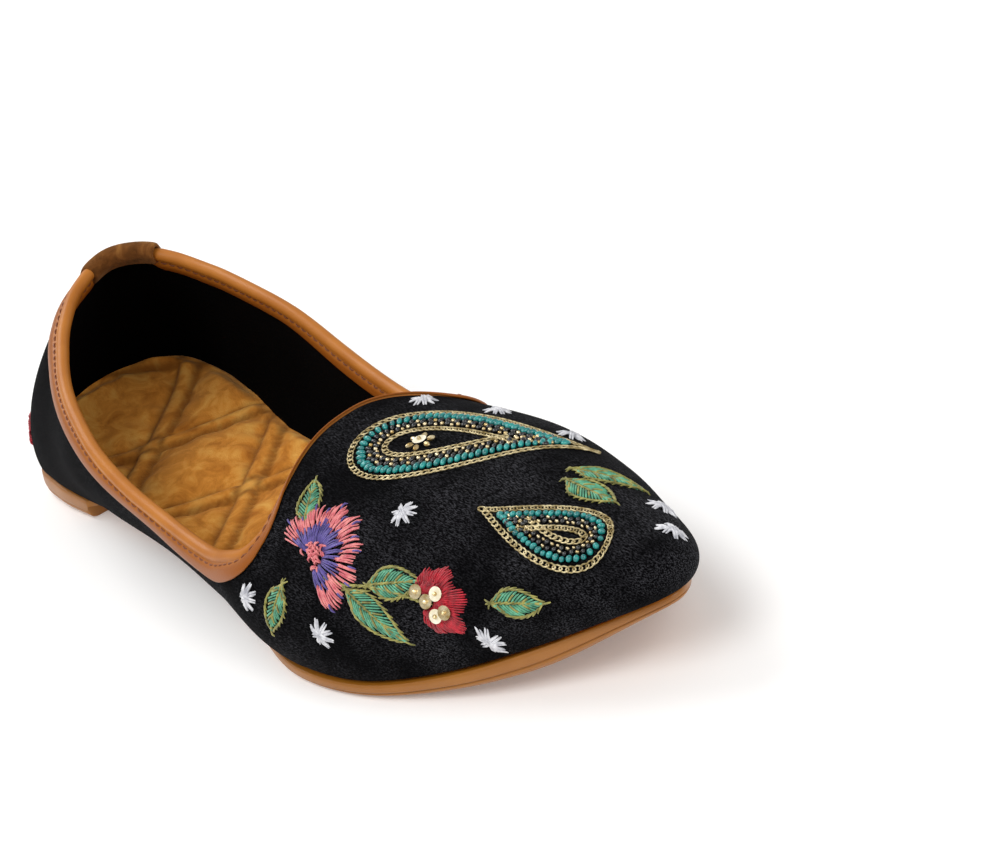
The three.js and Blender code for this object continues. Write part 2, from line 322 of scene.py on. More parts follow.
# %% [markdown]
# ## Floor and light
# The shoe stands on white paper under soft light, as on a photographer's table. Three broad area
# lights and an even white surround give soft shadows, and a little glow keeps the paper white.

# %% Floor and lights
FLOOR_SIZE = 6000
FLOOR_GLOW = 0.14
SURROUND = 0.5
floor_bm = bmesh.new()
bmesh.ops.create_grid(floor_bm, x_segments=1, y_segments=1, size=FLOOR_SIZE / 2)
white_paper = new_material(
    "white_paper",
    roughness=0.8,
    base_color=linear("#f6f5f4"),
    emission_color=linear("#ffffff"),
    emission_strength=FLOOR_GLOW,
)[0]
floor = new_piece("floor", floor_bm, white_paper)
floor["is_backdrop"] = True

world = bpy.data.worlds.new("studio")
scene.world = world
world.use_nodes = True
sky = world.node_tree.nodes["Background"]
wire(world.node_tree, sky, {"Color": linear("#fdfcfb"), "Strength": SURROUND})
scene.view_settings.view_transform = "Standard"

LIGHTS = (
    # name, size in metres, watts, place in metres
    ("key", 0.9, 8, (0.35, -0.75, 1.15)),
    ("rim", 0.7, 6, (-0.8, -0.1, 0.9)),
    ("front", 0.8, 5, (1.15, 0.25, 0.7)),
)
for name, size, watts, place in LIGHTS:
    lamp = bpy.data.lights.new(name, "AREA")
    lamp.size = size
    lamp.energy = watts
    light = bpy.data.objects.new(name, lamp)
    light.location = place
    light.rotation_euler = (-Vector(place)).to_track_quat("-Z", "Y").to_euler()
    scene.collection.objects.link(light)
print("lights:", len(LIGHTS))

# %% [markdown]
# ## The collar line
# Seen from the side, the opening's edge drops from the heel to the throat, turns up in a small
# round corner and climbs over the instep. The table gives that edge as points of x and height,
# with the share of the binding's full width that shows there. The place where each rib of the
# last meets the edge is found by halving, and the ring of such places is the path for the
# binding, its stitches and the tab.

# %% The collar's table and the rib that meets it
THROAT_X, THROAT_LEAN, THROAT_MARGIN = 27.4, 9, 0.1
COLLAR = (
    # x, height, share of the binding's width
    (-140, 55, 1), (-104, 54.8, 1), (-80, 47.4, 1), (-50, 39.5, 1), (-20, 28.7, 1),
    (5, 23.6, 1), (17.5, 25.6, 1), (24.4, 28.4, 0.78), (27.4, 34, 0.5), (27, 60, 0.7),
)
COLLAR_STEPS = 400
EDGE_HALVINGS = 24
collar_spans = (math.dist(before, after) ** 0.5 for before, after in zip(COLLAR, COLLAR[1:]))
COLLAR_STATIONS = list(accumulate(collar_spans, initial=0.0))
RISING = []
for i in range(COLLAR_STEPS + 1):
    row = smooth_row(COLLAR, COLLAR_STATIONS, COLLAR_STATIONS[-1] * i / COLLAR_STEPS)
    if row[0] > THROAT_X - THROAT_MARGIN:
        break
    RISING.append(row)
RISING_X = [row[0] for row in RISING]


def collar_at(x):
    """Height of the collar edge and its width share, before the throat."""
    i = clamp(bisect.bisect_left(RISING_X, x), 1, len(RISING) - 1)
    before, after = RISING[i - 1], RISING[i]
    t = (x - before[0]) / (after[0] - before[0])
    return mix(before[1], after[1], t), mix(before[2], after[2], t)


def halved(low, high, halvings, too_far):
    """Closes in on the place between low and high where too_far turns true."""
    for _ in range(halvings):
        middle = (low + high) / 2
        low, high = (low, middle) if too_far(middle) else (middle, high)
    return low, high


def edge_rise(turn):
    """The rise at which the rib at this turn meets the collar edge."""

    def above_edge(rise):
        point = last_point(turn, rise) + CENTRE
        return point.z > collar_at(point.x)[0]

    return sum(halved(0.0, 1.0, EDGE_HALVINGS, above_edge)) / 2


THROAT_TURN = station_of(THROAT_X)
OUTER_SHOULDER = edge_rise(THROAT_TURN)
INNER_SHOULDER = edge_rise(2 - THROAT_TURN)


def throat_turn(rise, outer_side):
    """The throat leans back to the heel from both shoulders to the ridge, like a short tongue."""
    shoulder = OUTER_SHOULDER if outer_side else INNER_SHOULDER
    station = station_of(THROAT_X - THROAT_LEAN * smoothstep(rise, shoulder, 1))
    return station if outer_side else 2 - station


print("shoulders at rise", round(OUTER_SHOULDER, 3), round(INNER_SHOULDER, 3))

# %% [markdown]
# ## Black velvet
# Velvet is a woven cloth with a short dense pile cut level. Seen along the fibres it swallows
# light, and seen across them at the edges of a curve it glows, which the shader's sheen gives.
# Single fibres that lean over catch the light, and that light is painted into the base colour as
# fine grey flecks, in soft patches where a hand has brushed the pile. A painted gradient along the
# foot gives more flecks towards the toe, as painted sheen, and fewer at the heel, as painted shade.
# The fibres are drawn about 0.25 mm wide, near the finest that the picture can show, lying along
# the foot.

# %% Velvet and its lining
FLECK, FLECK_LENGTH, FLECK_TURN = 0.26, 4, (0, 0.2, 0.25)
BRUSHED = 16
PILE_DEPTH = 0.3
# values read from low to high, and what they become
CATCHING = (0.46, 0.86, 0, 1)
PATCHY = (0.38, 0.68, 0.15, 1)
# painted sheen and shade along x: the flecks' share grows towards the toe and shrinks towards the
# heel
TOE_SHEEN_HEEL_SHADE = (-100 * MM, 120 * MM, 0.2, 1.5)
RANGE_INPUTS = ("From Min", "From Max", "To Min", "To Max")


def velvet_finish(name, dark, painted_glint, sheen):
    """Near black pile with sparse bright fibres painted in as highlights, gathered in brushed
    patches, with painted sheen towards the toe and painted shade towards the heel.
    """
    material, tree, shader = new_material(
        name,
        roughness=0.9,
        ior=1.45,
        specular_ior_level=0.04,
        sheen_weight=sheen,
        sheen_roughness=0.3,
        sheen_tint=linear("#a9aab4"),
    )
    place = add_node(tree, "TexCoord", output="Object")
    lain = {"Vector": place, "Rotation": FLECK_TURN, "Scale": (1 / FLECK_LENGTH, 1, 1)}
    lying = add_node(tree, "Mapping", lain)
    fine = {"Vector": lying, "Scale": 1 / (FLECK * MM), "Detail": 3.0, "Roughness": 0.65}
    fibres = add_node(tree, "TexNoise", fine)
    broad = {"Vector": place, "Scale": 1 / (BRUSHED * MM), "Detail": 4.0}
    brushed = add_node(tree, "TexNoise", broad)
    along = add_node(tree, "SeparateXYZ", {"Vector": place})
    share = 1.0
    # painted highlight: fibre noise, brushed patches and the painted toe sheen and heel shade set
    # the flecks' share
    for source, limits in ((fibres, CATCHING), (brushed, PATCHY), (along, TOE_SHEEN_HEEL_SHADE)):
        ranged = add_node(tree, "MapRange", {"Value": source, **dict(zip(RANGE_INPUTS, limits))})
        share = add_node(tree, "Math", {0: share, 1: ranged}, operation="MULTIPLY")
    # painted highlight: grey fibre glints mixed into the near black base colour
    blend = {"Factor": share, 6: linear(dark), 7: linear(painted_glint)}
    colour = add_node(tree, "Mix", blend, output=2, data_type="RGBA")
    pile = {"Height": fibres, "Strength": 0.7, "Distance": PILE_DEPTH * MM}
    wire(tree, shader, {"Base Color": colour, "Normal": add_node(tree, "Bump", pile)})
    return material


black_velvet = velvet_finish("black_cut_pile_velvet", "#020203", "#545459", 0.02)
velvet_lining = velvet_finish("black_velvet_lining", "#010101", "#101013", 0.02)
print("velvet flecks", FLECK, "mm")

# %% [markdown]
# ## The upper
# The upper is one piece of velvet pulled over the last and glued under the sole. It could be cut
# from a closed last with booleans, which leaves long thin faces along the cut. Here a grid is
# wrapped round the last instead, in a band from the feather line up to the collar edge, and a
# second grid caps the vamp from one shoulder over the ridge to the other. Both follow the edges,
# so the faces stay even. Solidify gives the wall its thickness and the inside its lining. A few
# shallow creases keep the cloth from looking like a casting.

# %% Wrapping grids round the last
SIDE_COLUMNS, VAMP_COLUMNS = 84, 60
BAND_ROWS, CAP_ROWS = 20, 22
CORNER_CROWDING = 1.3
AROUND = 2 * (SIDE_COLUMNS + VAMP_COLUMNS)
LEAST_CREASE = 0.01
CREASES = (
    # centre x, y, z; direction x, y, z; length, width, depth
    (34, -34, 24, 0.35, 0.3, -0.85, 16, 7, 0.7),
    (48, -33, 25, 0.5, 0.2, -0.8, 14, 7, -0.5),
    (30, 22, 33, 0.2, -0.9, 0.3, 16, 6, 0.5),
    (-30, -38, 20, 0.9, 0.1, 0.3, 26, 7, 0.6),
    (-62, -33, 24, 0.9, -0.1, 0.2, 22, 9, -0.5),
    (78, 6, 36, 0.25, 0.95, 0, 20, 8, 0.35),
)


def crease_depth(point):
    total = 0
    for *places, length, width, depth in CREASES:
        away = point - Vector(places[:3])
        along = away.dot(Vector(places[3:]).normalized())
        aside = away.length_squared - along * along
        total += depth * math.exp(-((along / length) ** 2) - aside / width**2)
    return total


def skin_point(turn, rise):
    point = last_point(turn, rise)
    depth = crease_depth(point)
    return point - last_normal(turn, rise) * depth if abs(depth) > LEAST_CREASE else point


def band_turn(share):
    """Turn at a share of the way round, with columns crowded at the throat's corners."""
    column = share * AROUND
    if column > AROUND / 2:
        return 2 - band_turn(1 - share)
    if column <= SIDE_COLUMNS:
        return THROAT_TURN * (1 - (1 - column / SIDE_COLUMNS) ** CORNER_CROWDING)
    return mix(THROAT_TURN, 1, (column - SIDE_COLUMNS) / VAMP_COLUMNS)


def shoulder_at(turn):
    """Rise of the line round the vamp, from the outer shoulder to the inner one."""
    return mix(OUTER_SHOULDER, INNER_SHOULDER, (turn - THROAT_TURN) / (2 - 2 * THROAT_TURN))


@cache
def band_top(turn):
    on_vamp_side = THROAT_TURN < turn < 2 - THROAT_TURN
    return shoulder_at(turn) if on_vamp_side else edge_rise(turn)


def band_place(along, across):
    turn = band_turn(along)
    return skin_point(turn, across * band_top(turn))


def cap_place(along, across):
    outer_side = across <= 0.5
    at_shoulder = mix(THROAT_TURN, 1, along)
    shoulder = shoulder_at(at_shoulder if outer_side else 2 - at_shoulder)
    over = 1 - abs(2 * across - 1)
    throat_rise = mix(OUTER_SHOULDER if outer_side else INNER_SHOULDER, 1, over)
    turn = mix(throat_turn(throat_rise, outer_side), 1, along)
    return skin_point(turn, mix(shoulder, 1, over))


def shaped_grid(bm, columns, rows, place, layer=None, mark=None):
    """A flat grid whose points are moved to place(along, across), and marked in a layer."""
    made = bmesh.ops.create_grid(bm, x_segments=columns, y_segments=rows, size=0.5)
    for vert in made["verts"]:
        along, across = vert.co.x + 0.5, vert.co.y + 0.5
        vert.co = place(along, across)
        if mark:
            vert[layer] = mark(along, across)


def thicken(piece, thickness):
    wall = piece.modifiers.new("wall", "SOLIDIFY")
    wall.thickness = thickness * MM
    wall.offset = -1
    return wall


def round_off(piece, levels):
    rounding = piece.modifiers.new("rounding", "SUBSURF")
    rounding.levels = rounding.render_levels = levels


upper_bm = bmesh.new()
shaped_grid(upper_bm, AROUND, BAND_ROWS, band_place)
shaped_grid(upper_bm, VAMP_COLUMNS, 2 * CAP_ROWS, cap_place)
bmesh.ops.remove_doubles(upper_bm, verts=upper_bm.verts, dist=0.02)
SKIN = BVHTree.FromBMesh(upper_bm)
upper = new_piece("velvet_upper", upper_bm, black_velvet, velvet_lining)
wall = thicken(upper, WALL)
wall.material_offset = wall.material_offset_rim = 1
round_off(upper, 1)
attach(upper, "root")
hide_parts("upper")

# %% [markdown]
# ## Tan leather binding
# The binding is a strip of smooth tan leather, folded over the raw edge of the velvet round a soft
# cord and sewn through close under it, so it shows as a round roll, a stitched groove and a flat
# flange on each face. A curve with a bevel could follow the edge but would twist at the throat.
# Here a grid is rolled up: its columns follow the collar ring, and its rows follow one
# cross-section of the fold. Calf leather has a fine grain, a soft gloss and a cloudy tan. The
# flanges, which lie flat on the wall, are painted darker than the roll as shade on their sideways
# faces.

# %% Leather finish
GRAIN, GREASE = 0.55, 9
LEATHER_DEPTH = 0.06


def clouded_finish(name, dark, pale, cloud, spread=(0, 1), detail=2.0, **shader_values):
    """A surface whose colour drifts between two tones, over patches of so many millimetres."""
    material, tree, shader = new_material(name, **shader_values)
    place = add_node(tree, "TexCoord", output="Object")
    noise = {"Vector": place, "Scale": 1 / (cloud * MM), "Detail": detail}
    drift = add_node(tree, "TexNoise", noise)
    limits = {"Value": drift, "From Min": spread[0], "From Max": spread[1]}
    blend = {"Factor": add_node(tree, "MapRange", limits), 6: linear(dark), 7: linear(pale)}
    colour = add_node(tree, "Mix", blend, output=2, data_type="RGBA")
    wire(tree, shader, {"Base Color": colour})
    return material, tree, shader, place, colour


tan_leather, tree, shader, place, tan = clouded_finish(
    "tan_calf_leather",
    "#a05a19",
    "#c57f31",
    GREASE,
    detail=4.0,
    roughness=0.46,
    ior=1.46,
    specular_ior_level=0.28,
    coat_weight=0.11,
    coat_roughness=0.2,
)
# painted shade: the flanges' colour is mixed towards a darker tan by a vertex attribute
flange_shading = add_node(tree, "Attribute", output="Fac", attribute_name="flange_shade")
blend = {"Factor": flange_shading, 6: tan, 7: linear("#935010")}
shaded_tan = add_node(tree, "Mix", blend, output=2, data_type="RGBA")
grain = add_node(tree, "TexVoronoi", {"Vector": place, "Scale": 1 / (GRAIN * MM)})
grained = {"Height": grain, "Strength": 0.35, "Distance": LEATHER_DEPTH * MM}
wire(tree, shader, {"Base Color": shaded_tan, "Normal": add_node(tree, "Bump", grained)})
print("leather grain", GRAIN, "mm")

# %% The collar ring
RING_COUNT, RING_SAMPLES, THROAT_SAMPLES = 260, 120, 30
SHOULDER_SHARE, THROAT_SHARE, THINNING_OVER = 0.48, 0.09, 0.45
SOFTENING = 6


def lengths_along(points):
    """Distance along a line at each of its points."""
    steps = ((after - before).length for before, after in zip(points, points[1:]))
    return list(accumulate(steps, initial=0.0))


def step_at(lengths, reach):
    """The step of a line that a distance along it falls in, and the share of that step."""
    k = min(len(lengths) - 2, bisect.bisect_right(lengths, reach) - 1)
    return k, (reach - lengths[k]) / max(1e-9, lengths[k + 1] - lengths[k])


def throat_share(rise):
    """The binding's share of its width, which thins quickly from the shoulder up the throat."""
    over = (rise - OUTER_SHOULDER) / (1 - OUTER_SHOULDER)
    return mix(SHOULDER_SHARE, THROAT_SHARE, smoothstep(over, 0, THINNING_OVER))


def side_row(turn):
    """Place, outward normal and binding share where a rib meets the collar edge."""
    rise = edge_rise(turn)
    point = skin_point(turn, rise)
    return point, last_normal(turn, rise), collar_at(point.x + CENTRE.x)[1]


def throat_row(rise, outer_side):
    turn = throat_turn(rise, outer_side)
    return skin_point(turn, rise), last_normal(turn, rise), throat_share(rise)


def collar_ring():
    """Even steps along the collar edge from the heel and back to it, and the edge's length."""
    side = [i / RING_SAMPLES for i in range(RING_SAMPLES)]
    over = [i / THROAT_SAMPLES for i in range(THROAT_SAMPLES)]
    rows = [side_row(THROAT_TURN * t) for t in side]
    rows += [throat_row(mix(OUTER_SHOULDER, 1, t), True) for t in over]
    rows += [throat_row(mix(1, INNER_SHOULDER, t), False) for t in over]
    rows += [side_row(2 - THROAT_TURN * (1 - t)) for t in side]
    rows.append(rows[0])
    lengths = lengths_along([row[0] for row in rows])
    ring = []
    for i in range(RING_COUNT):
        k, t = step_at(lengths, lengths[-1] * i / RING_COUNT)
        (p, n, s), (q, m, r) = rows[k], rows[k + 1]
        ring.append([p.lerp(q, t), n.lerp(m, t).normalized(), mix(s, r, t)])
    return ring, lengths[-1]


RING, RING_LENGTH = collar_ring()
for _ in range(SOFTENING):
    RING = [
        [row[0], (2 * row[1] + p[1] + q[1]).normalized(), (2 * row[2] + p[2] + q[2]) / 4]
        for p, row, q in zip(RING[-1:] + RING, RING, RING[1:] + RING[:1])
    ]
print("collar ring", round(RING_LENGTH), "mm")

# %% The fold at any distance along the ring
TAB_WIDTH, TAB_MIDDLE_Y = 21.5, 11
PARED, PARED_FADE = 0.35, 3
SEARCH_STEPS = 2000


def ring_frame(reach):
    """Place, normal, way down the wall and binding share at a distance along the ring."""
    step = (reach / RING_LENGTH * RING_COUNT) % RING_COUNT
    k, t = int(step), step - int(step)
    row, after = RING[k], RING[(k + 1) % RING_COUNT]
    place, normal = row[0].lerp(after[0], t), row[1].lerp(after[1], t).normalized()
    ahead = RING[(k + 2) % RING_COUNT][0] - RING[k - 1][0]
    return place, normal, ahead.cross(normal).normalized(), mix(row[2], after[2], t)


def fold_point(reach, down, out):
    """A point of the folded strip: so far down the wall from the edge, and so far out from it."""
    place, normal, below, _ = ring_frame(reach)
    place = place + below * down
    if down > 0:
        place, skin_normal, _, _ = SKIN.find_nearest(place)
        normal = normal.lerp(skin_normal, 0.5).normalized()
    return place + normal * out


def off_tab(reach):
    return abs(ring_frame(reach)[0].y + CENTRE.y - TAB_MIDDLE_Y)


near_heel = range(-SEARCH_STEPS // 10, SEARCH_STEPS // 10)
TAB_REACH = min((RING_LENGTH * i / SEARCH_STEPS for i in near_heel), key=off_tab)
half_ring = RING_LENGTH / 2
for i, row in enumerate(RING):
    from_tab = (RING_LENGTH * i / RING_COUNT - TAB_REACH + half_ring) % RING_LENGTH - half_ring
    covered = smoothstep(abs(from_tab), TAB_WIDTH / 2 - PARED_FADE, TAB_WIDTH / 2)
    row[2] *= mix(PARED, 1, covered)
print("tab at", round(TAB_REACH), "mm along the ring, over pared leather")

# %% The folded strip
OUTER_FLANGE, INNER_FLANGE = 5.6, 5.3
INNER_SHARE = INNER_FLANGE / OUTER_FLANGE
ROLL_RADIUS, ROLL_STEPS = 1.65, 9
ROLL_START, ROLL_END = math.radians(-52), math.radians(90)
THIN_ROLL, THIN_FLANGE = 0.3, 0.5
FLANGE_FACE = (
    # down the wall from the edge, out from its skin
    (5.6, 0.3), (5.66, 0.75), (5.35, 1.05), (4.4, 1.2), (2.7, 1.15), (2.05, 0.8), (1.7, 0.42),
)
UNDERSIDE = ((4.8, 0.2), (-0.3, 0.2))
# painted shade on the flanges fades in between these distances down the wall, in millimetres
FLANGE_SHADE_DOWN = (1.0, 3.0)


def strip_section(share):
    """The strip's cross-section as (down, out), from the outer flange over the roll and round."""
    radius = ROLL_RADIUS * mix(THIN_ROLL, 1, share)
    half = [(down * share, out * mix(THIN_FLANGE, 1, share)) for down, out in FLANGE_FACE]
    for i in range(ROLL_STEPS):
        angle = mix(ROLL_START, ROLL_END, i / (ROLL_STEPS - 1))
        half.append((-radius * math.sin(angle), -WALL / 2 + radius * math.cos(angle)))
    inner = [(down * (INNER_SHARE if down > 0 else 1), -WALL - out) for down, out in half[-2::-1]]
    hidden = [(down * share, out) for down, out in UNDERSIDE]
    closing = [(down * INNER_SHARE, -WALL - out) for down, out in hidden] + hidden[::-1]
    return half + inner + closing


STRIP_ROWS = len(strip_section(1))


def strip_row(share, across):
    return strip_section(share)[round(across * STRIP_ROWS) % STRIP_ROWS]


def strip_place(along, across):
    reach = along * RING_LENGTH
    return fold_point(reach, *strip_row(ring_frame(reach)[3], across))


def painted_flange_shade(along, across):
    """1 on the flanges, which get painted shade, and 0 on the roll."""
    return smoothstep(strip_row(1, across)[0], *FLANGE_SHADE_DOWN)


binding_bm = bmesh.new()
# the flanges' painted shade, kept on each vertex of the strip
flange_shade_layer = binding_bm.verts.layers.float.new("flange_shade")
shaped_grid(binding_bm, RING_COUNT, STRIP_ROWS, strip_place, flange_shade_layer, painted_flange_shade)
bmesh.ops.remove_doubles(binding_bm, verts=binding_bm.verts, dist=0.005)
binding = new_piece("leather_collar_binding", binding_bm, tan_leather)
round_off(binding, 1)
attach(binding, "root")
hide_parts("collar_binding")

# %% [markdown]
# ## Lockstitch
# A sewing machine's lockstitch leaves a row of short dashes, each sinking at both ends into its
# hole. Each dash is one small spline of a curve with a round bevel, which is then made a mesh. The
# thread is waxed and brown, in the groove on the outside and again on the inside.

# %% Threads from splines
STITCH, STITCH_GAP = 1.7, 0.75
STITCHED_SHARE = 0.36
SEWING_THREAD = 0.22
GROOVE_DOWN, GROOVE_OUT = 1.8, 0.47
DASH = ((0.25, 0.7), (0, 1), (0, 1), (0.25, 0.7))  # depth sunk and share of the thickness
brown_thread = new_material(
    "waxed_brown_thread", roughness=0.5, ior=1.5, base_color=linear("#7a4019")
)[0]


def thread_piece(name, paths, radius, material, sides=1, closed=False):
    """Round threads along paths of (point, thickness share), joined in one mesh."""
    curve = bpy.data.curves.new(name, "CURVE")
    curve.dimensions = "3D"
    curve.bevel_depth = radius * MM
    curve.bevel_resolution = sides
    curve.use_fill_caps = True
    for path in paths:
        spline = curve.splines.new("POLY")
        spline.points.add(len(path) - 1)
        spline.use_cyclic_u = closed
        spline.use_smooth = True
        for knot, (place, thickness) in zip(spline.points, path):
            knot.co = (*(place * MM), 1)
            knot.radius = thickness
    drawn = bpy.data.objects.new(name, curve)
    mesh = bpy.data.meshes.new_from_object(drawn)
    bpy.data.objects.remove(drawn)
    bpy.data.curves.remove(curve)
    mesh.name = name
    mesh.materials.clear()
    mesh.materials.append(material)
    piece = bpy.data.objects.new(name, mesh)
    scene.collection.objects.link(piece)
    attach(piece, "root")
    print(name, "threads", len(paths), "faces", len(mesh.polygons))
    return piece


def dash(reach, outside):
    """One stitch in the groove, sunk at both ends."""
    path = []
    for i, (sink, thickness) in enumerate(DASH):
        at = reach + STITCH * i / (len(DASH) - 1)
        down = GROOVE_DOWN * ring_frame(at)[3] * (1 if outside else INNER_SHARE)
        out = GROOVE_OUT + SEWING_THREAD - sink
        path.append((fold_point(at, down, out if outside else -WALL - out), thickness))
    return path


STITCH_COUNT = int(RING_LENGTH / (STITCH + STITCH_GAP))
starts = [RING_LENGTH * i / STITCH_COUNT for i in range(STITCH_COUNT)]
dashes = [
    dash(reach, outside)
    for reach in starts
    if ring_frame(reach)[3] > STITCHED_SHARE
    for outside in (True, False)
]
thread_piece("binding_stitches", dashes, SEWING_THREAD, brown_thread)

# %% [markdown]
# ## Suede heel tab
# A patch of brown suede is folded over the binding at the heel, where the fingers pull the shoe
# on. Suede is the split side of leather, buffed to a soft nap that lies in cloudy strokes and has
# no gloss. The patch follows the same fold as the binding, a little further out, as one sheet that
# gets its thickness from Solidify.

# %% Suede finish
FUZZ, FUZZ_DEPTH = 0.35, 0.3
NAP_MIDDLE, NAP_PALE = (0.3, 0.52), (0.5, 0.74)


def suede_finish(name, dark, middle, pale, cloud, sheen, groove_shade_colour=None):
    """Napped leather: cloudy strokes over a fine fuzz, with painted shade in the grooves of the
    stitched rows when a shade colour is given.
    """
    material, tree, shader = new_material(
        name,
        roughness=0.95,
        ior=1.45,
        specular_ior_level=0.12,
        sheen_weight=sheen,
        sheen_roughness=0.5,
        sheen_tint=linear("#e8c08a"),
    )
    place = add_node(tree, "TexCoord", output="Object")
    stroke_shape = {"Scale": 1 / (cloud * MM), "Detail": 5.0, "Roughness": 0.62, "Distortion": 0.6}
    strokes = add_node(tree, "TexNoise", {"Vector": place, **stroke_shape})
    fuzz = add_node(tree, "TexNoise", {"Vector": place, "Scale": 1 / (FUZZ * MM), "Detail": 2.0})
    tones = []
    for tone, (low, high) in ((middle, NAP_MIDDLE), (pale, NAP_PALE)):
        limits = {"Value": strokes, "From Min": low, "From Max": high}
        tones.append((add_node(tree, "MapRange", limits), tone))
    # painted shade: a vertex attribute darkens the grooves along the stitched rows
    if groove_shade_colour:
        painted_groove_shade = add_node(tree, "Attribute", output="Fac", attribute_name="painted_groove_shade")
        tones.append((painted_groove_shade, groove_shade_colour))
    colour = linear(dark)
    for share, tone in tones:
        laid = {"Factor": share, 6: colour, 7: linear(tone)}
        colour = add_node(tree, "Mix", laid, output=2, data_type="RGBA")
    napped = {"Height": fuzz, "Strength": 0.6, "Distance": FUZZ_DEPTH * MM}
    wire(tree, shader, {"Base Color": colour, "Normal": add_node(tree, "Bump", napped)})
    return material


brown_suede = suede_finish("brown_suede", "#4b2b0e", "#6f431d", "#8e602f", 4, 0.2)
# the last colour is the painted shade in the footbed's grooves
tan_suede = suede_finish("tan_suede", "#a8641f", "#d08835", "#e4ab54", 6, 0.25, "#66390f")
print("suede finishes:", brown_suede.name, tan_suede.name)

# %% The folded patch
TAB_SUEDE, TAB_COLUMNS = 1.0, 24
TAB_ROLL, TAB_ARC, ROLL_DROP = 2.5, 13, 0.6
TAB_OUTER = (
    # down the wall from the edge, out from its skin
    (13, 1.3), (12, 1.32), (10.5, 1.34), (9, 1.36), (7.5, 1.38), (6, 1.4), (4.5, 1.45),
    (3, 1.55), (1.8, 1.64),
)
TAB_INNER = ((1.6, 1.6), (2.1, 1.55), (2.6, 1.5))
TAB_STAND, STAND_DOWN = 1.7, 6
CORNER_WIDTH, CORNER_DOWN, CORNER_CUT, CORNER_PRESS = 0.14, 10, 1.6, 0.25
TAB_ROWS = list(TAB_OUTER)
for i in range(TAB_ARC):
    angle = math.pi * i / (TAB_ARC - 1)
    TAB_ROWS.append(
        (ROLL_DROP - TAB_ROLL * math.sin(angle), -WALL / 2 + TAB_ROLL * math.cos(angle))
    )
TAB_ROWS += [(down, -WALL - out) for down, out in TAB_INNER]


def tab_place(along, across):
    """The fold, with rounded lower corners pressed on to the wall and one end standing up."""
    down, out = TAB_ROWS[round(across * (len(TAB_ROWS) - 1))]
    corner = (max(0, abs(2 * along - 1) - (1 - CORNER_WIDTH)) / CORNER_WIDTH) ** 2
    if down > CORNER_DOWN:
        down -= CORNER_CUT * corner
    down -= TAB_STAND * (1 - along) * (1 - smoothstep(down, 0, STAND_DOWN))
    out -= math.copysign(CORNER_PRESS * corner, out)
    return fold_point(TAB_REACH + TAB_WIDTH * (along - 0.5), down, out)


tab_bm = bmesh.new()
shaped_grid(tab_bm, TAB_COLUMNS, len(TAB_ROWS) - 1, tab_place)
tab = new_piece("suede_heel_tab", tab_bm, brown_suede)
thicken(tab, TAB_SUEDE)
round_off(tab, 2)
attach(tab, "root")
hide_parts("heel_tab")

# %% [markdown]
# ## Quilted footbed
# The footbed is tan suede over soft foam, sewn along slanting double rows so that a narrow padded
# bar stands between each pair of rows and the squares between the bars puff up. Cloth simulation
# is the usual way to make a cushion, but this pad is glued down and its rows have to lie where
# they were sewn. So one grid is wrapped round the pad, over the top and back underneath, its
# outline is the inside of the wall, and the height of the top comes from the distance to the
# nearest row of each slant.

# %% Quilting relief
QUILT_RUNS = (
    # direction of the bars in degrees, distance of one of them from the origin, pitch
    (-50, -33.2, 33.9),
    (62, 76.1, 36),
)
BAR_HALF, BAR_HEIGHT = 2.6, 1.6
PUFF_HEIGHT, PUFF_REACH = 3.6, 4.6
PUCKER_PITCH, PUCKER_HEIGHT, PUCKER_REACH = 7.5, 0.42, 4.5
SWAY_RATE, SWAY = 0.9, 2
# width of the painted shade in the grooves, and how strong it is
SEAM_WIDTH, GROOVE_SHADE = 1.0, 0.75


def quilt_rows(x, y):
    """For each slant: distance to the middle of the nearest bar, and place along it."""
    for degrees, start, pitch in QUILT_RUNS:
        cosine, sine = math.cos(math.radians(degrees)), math.sin(math.radians(degrees))
        across = cosine * y - sine * x - start
        yield abs((across + pitch / 2) % pitch - pitch / 2), cosine * x + sine * y


def quilt_relief(x, y):
    """Height of the padding over the stitched rows, in millimetres."""
    puff, bar, pucker = 1, 0, 0
    for row, along in quilt_rows(x, y):
        past = max(0, row - BAR_HALF)
        puff *= 1 - math.exp(-past / PUFF_REACH)
        if row < BAR_HALF:
            bar = max(bar, math.sqrt(1 - (row / BAR_HALF) ** 2))
        fade = math.exp(-past / PUCKER_REACH) * min(1, past)
        sway = math.sin(along * SWAY_RATE / PUCKER_PITCH) * SWAY
        pucker += PUCKER_HEIGHT * fade * math.sin(2 * math.pi * along / PUCKER_PITCH + sway)
    return PUFF_HEIGHT * puff + BAR_HEIGHT * bar + pucker


def groove_shade_at(x, y):
    """How much painted shade darkens the groove: most on a row of stitches, falling off beside it.
    """
    aside = min(abs(row - BAR_HALF) for row, _ in quilt_rows(x, y))
    return GROOVE_SHADE * math.exp(-((aside / SEAM_WIDTH) ** 2))


print("relief at the origin", round(quilt_relief(0, 0), 1), "mm")

# %% The pad's outline
FOOTBED_FRONT, FOOTBED_HEEL = 4, 5
HEEL_CURL, CURL_X = 12.5, -100
FOOTBED_CLEARANCE = 0.35
OUTLINE_STEPS = 160
LINING_TOP, LINING_HALVINGS = 0.8, 18
END_INSET = 0.05
PAD_SEAT = SEAT + 0.1


def pad_height(x):
    """Thickness of the pad, which climbs the back of the heel."""
    curl = HEEL_CURL * (max(0, CURL_X - x) / (HALF_LENGTH + CURL_X)) ** 2
    return mix(FOOTBED_HEEL, FOOTBED_FRONT, smoothstep(x, HEEL_BREAST_X, WAIST_END_X)) + curl


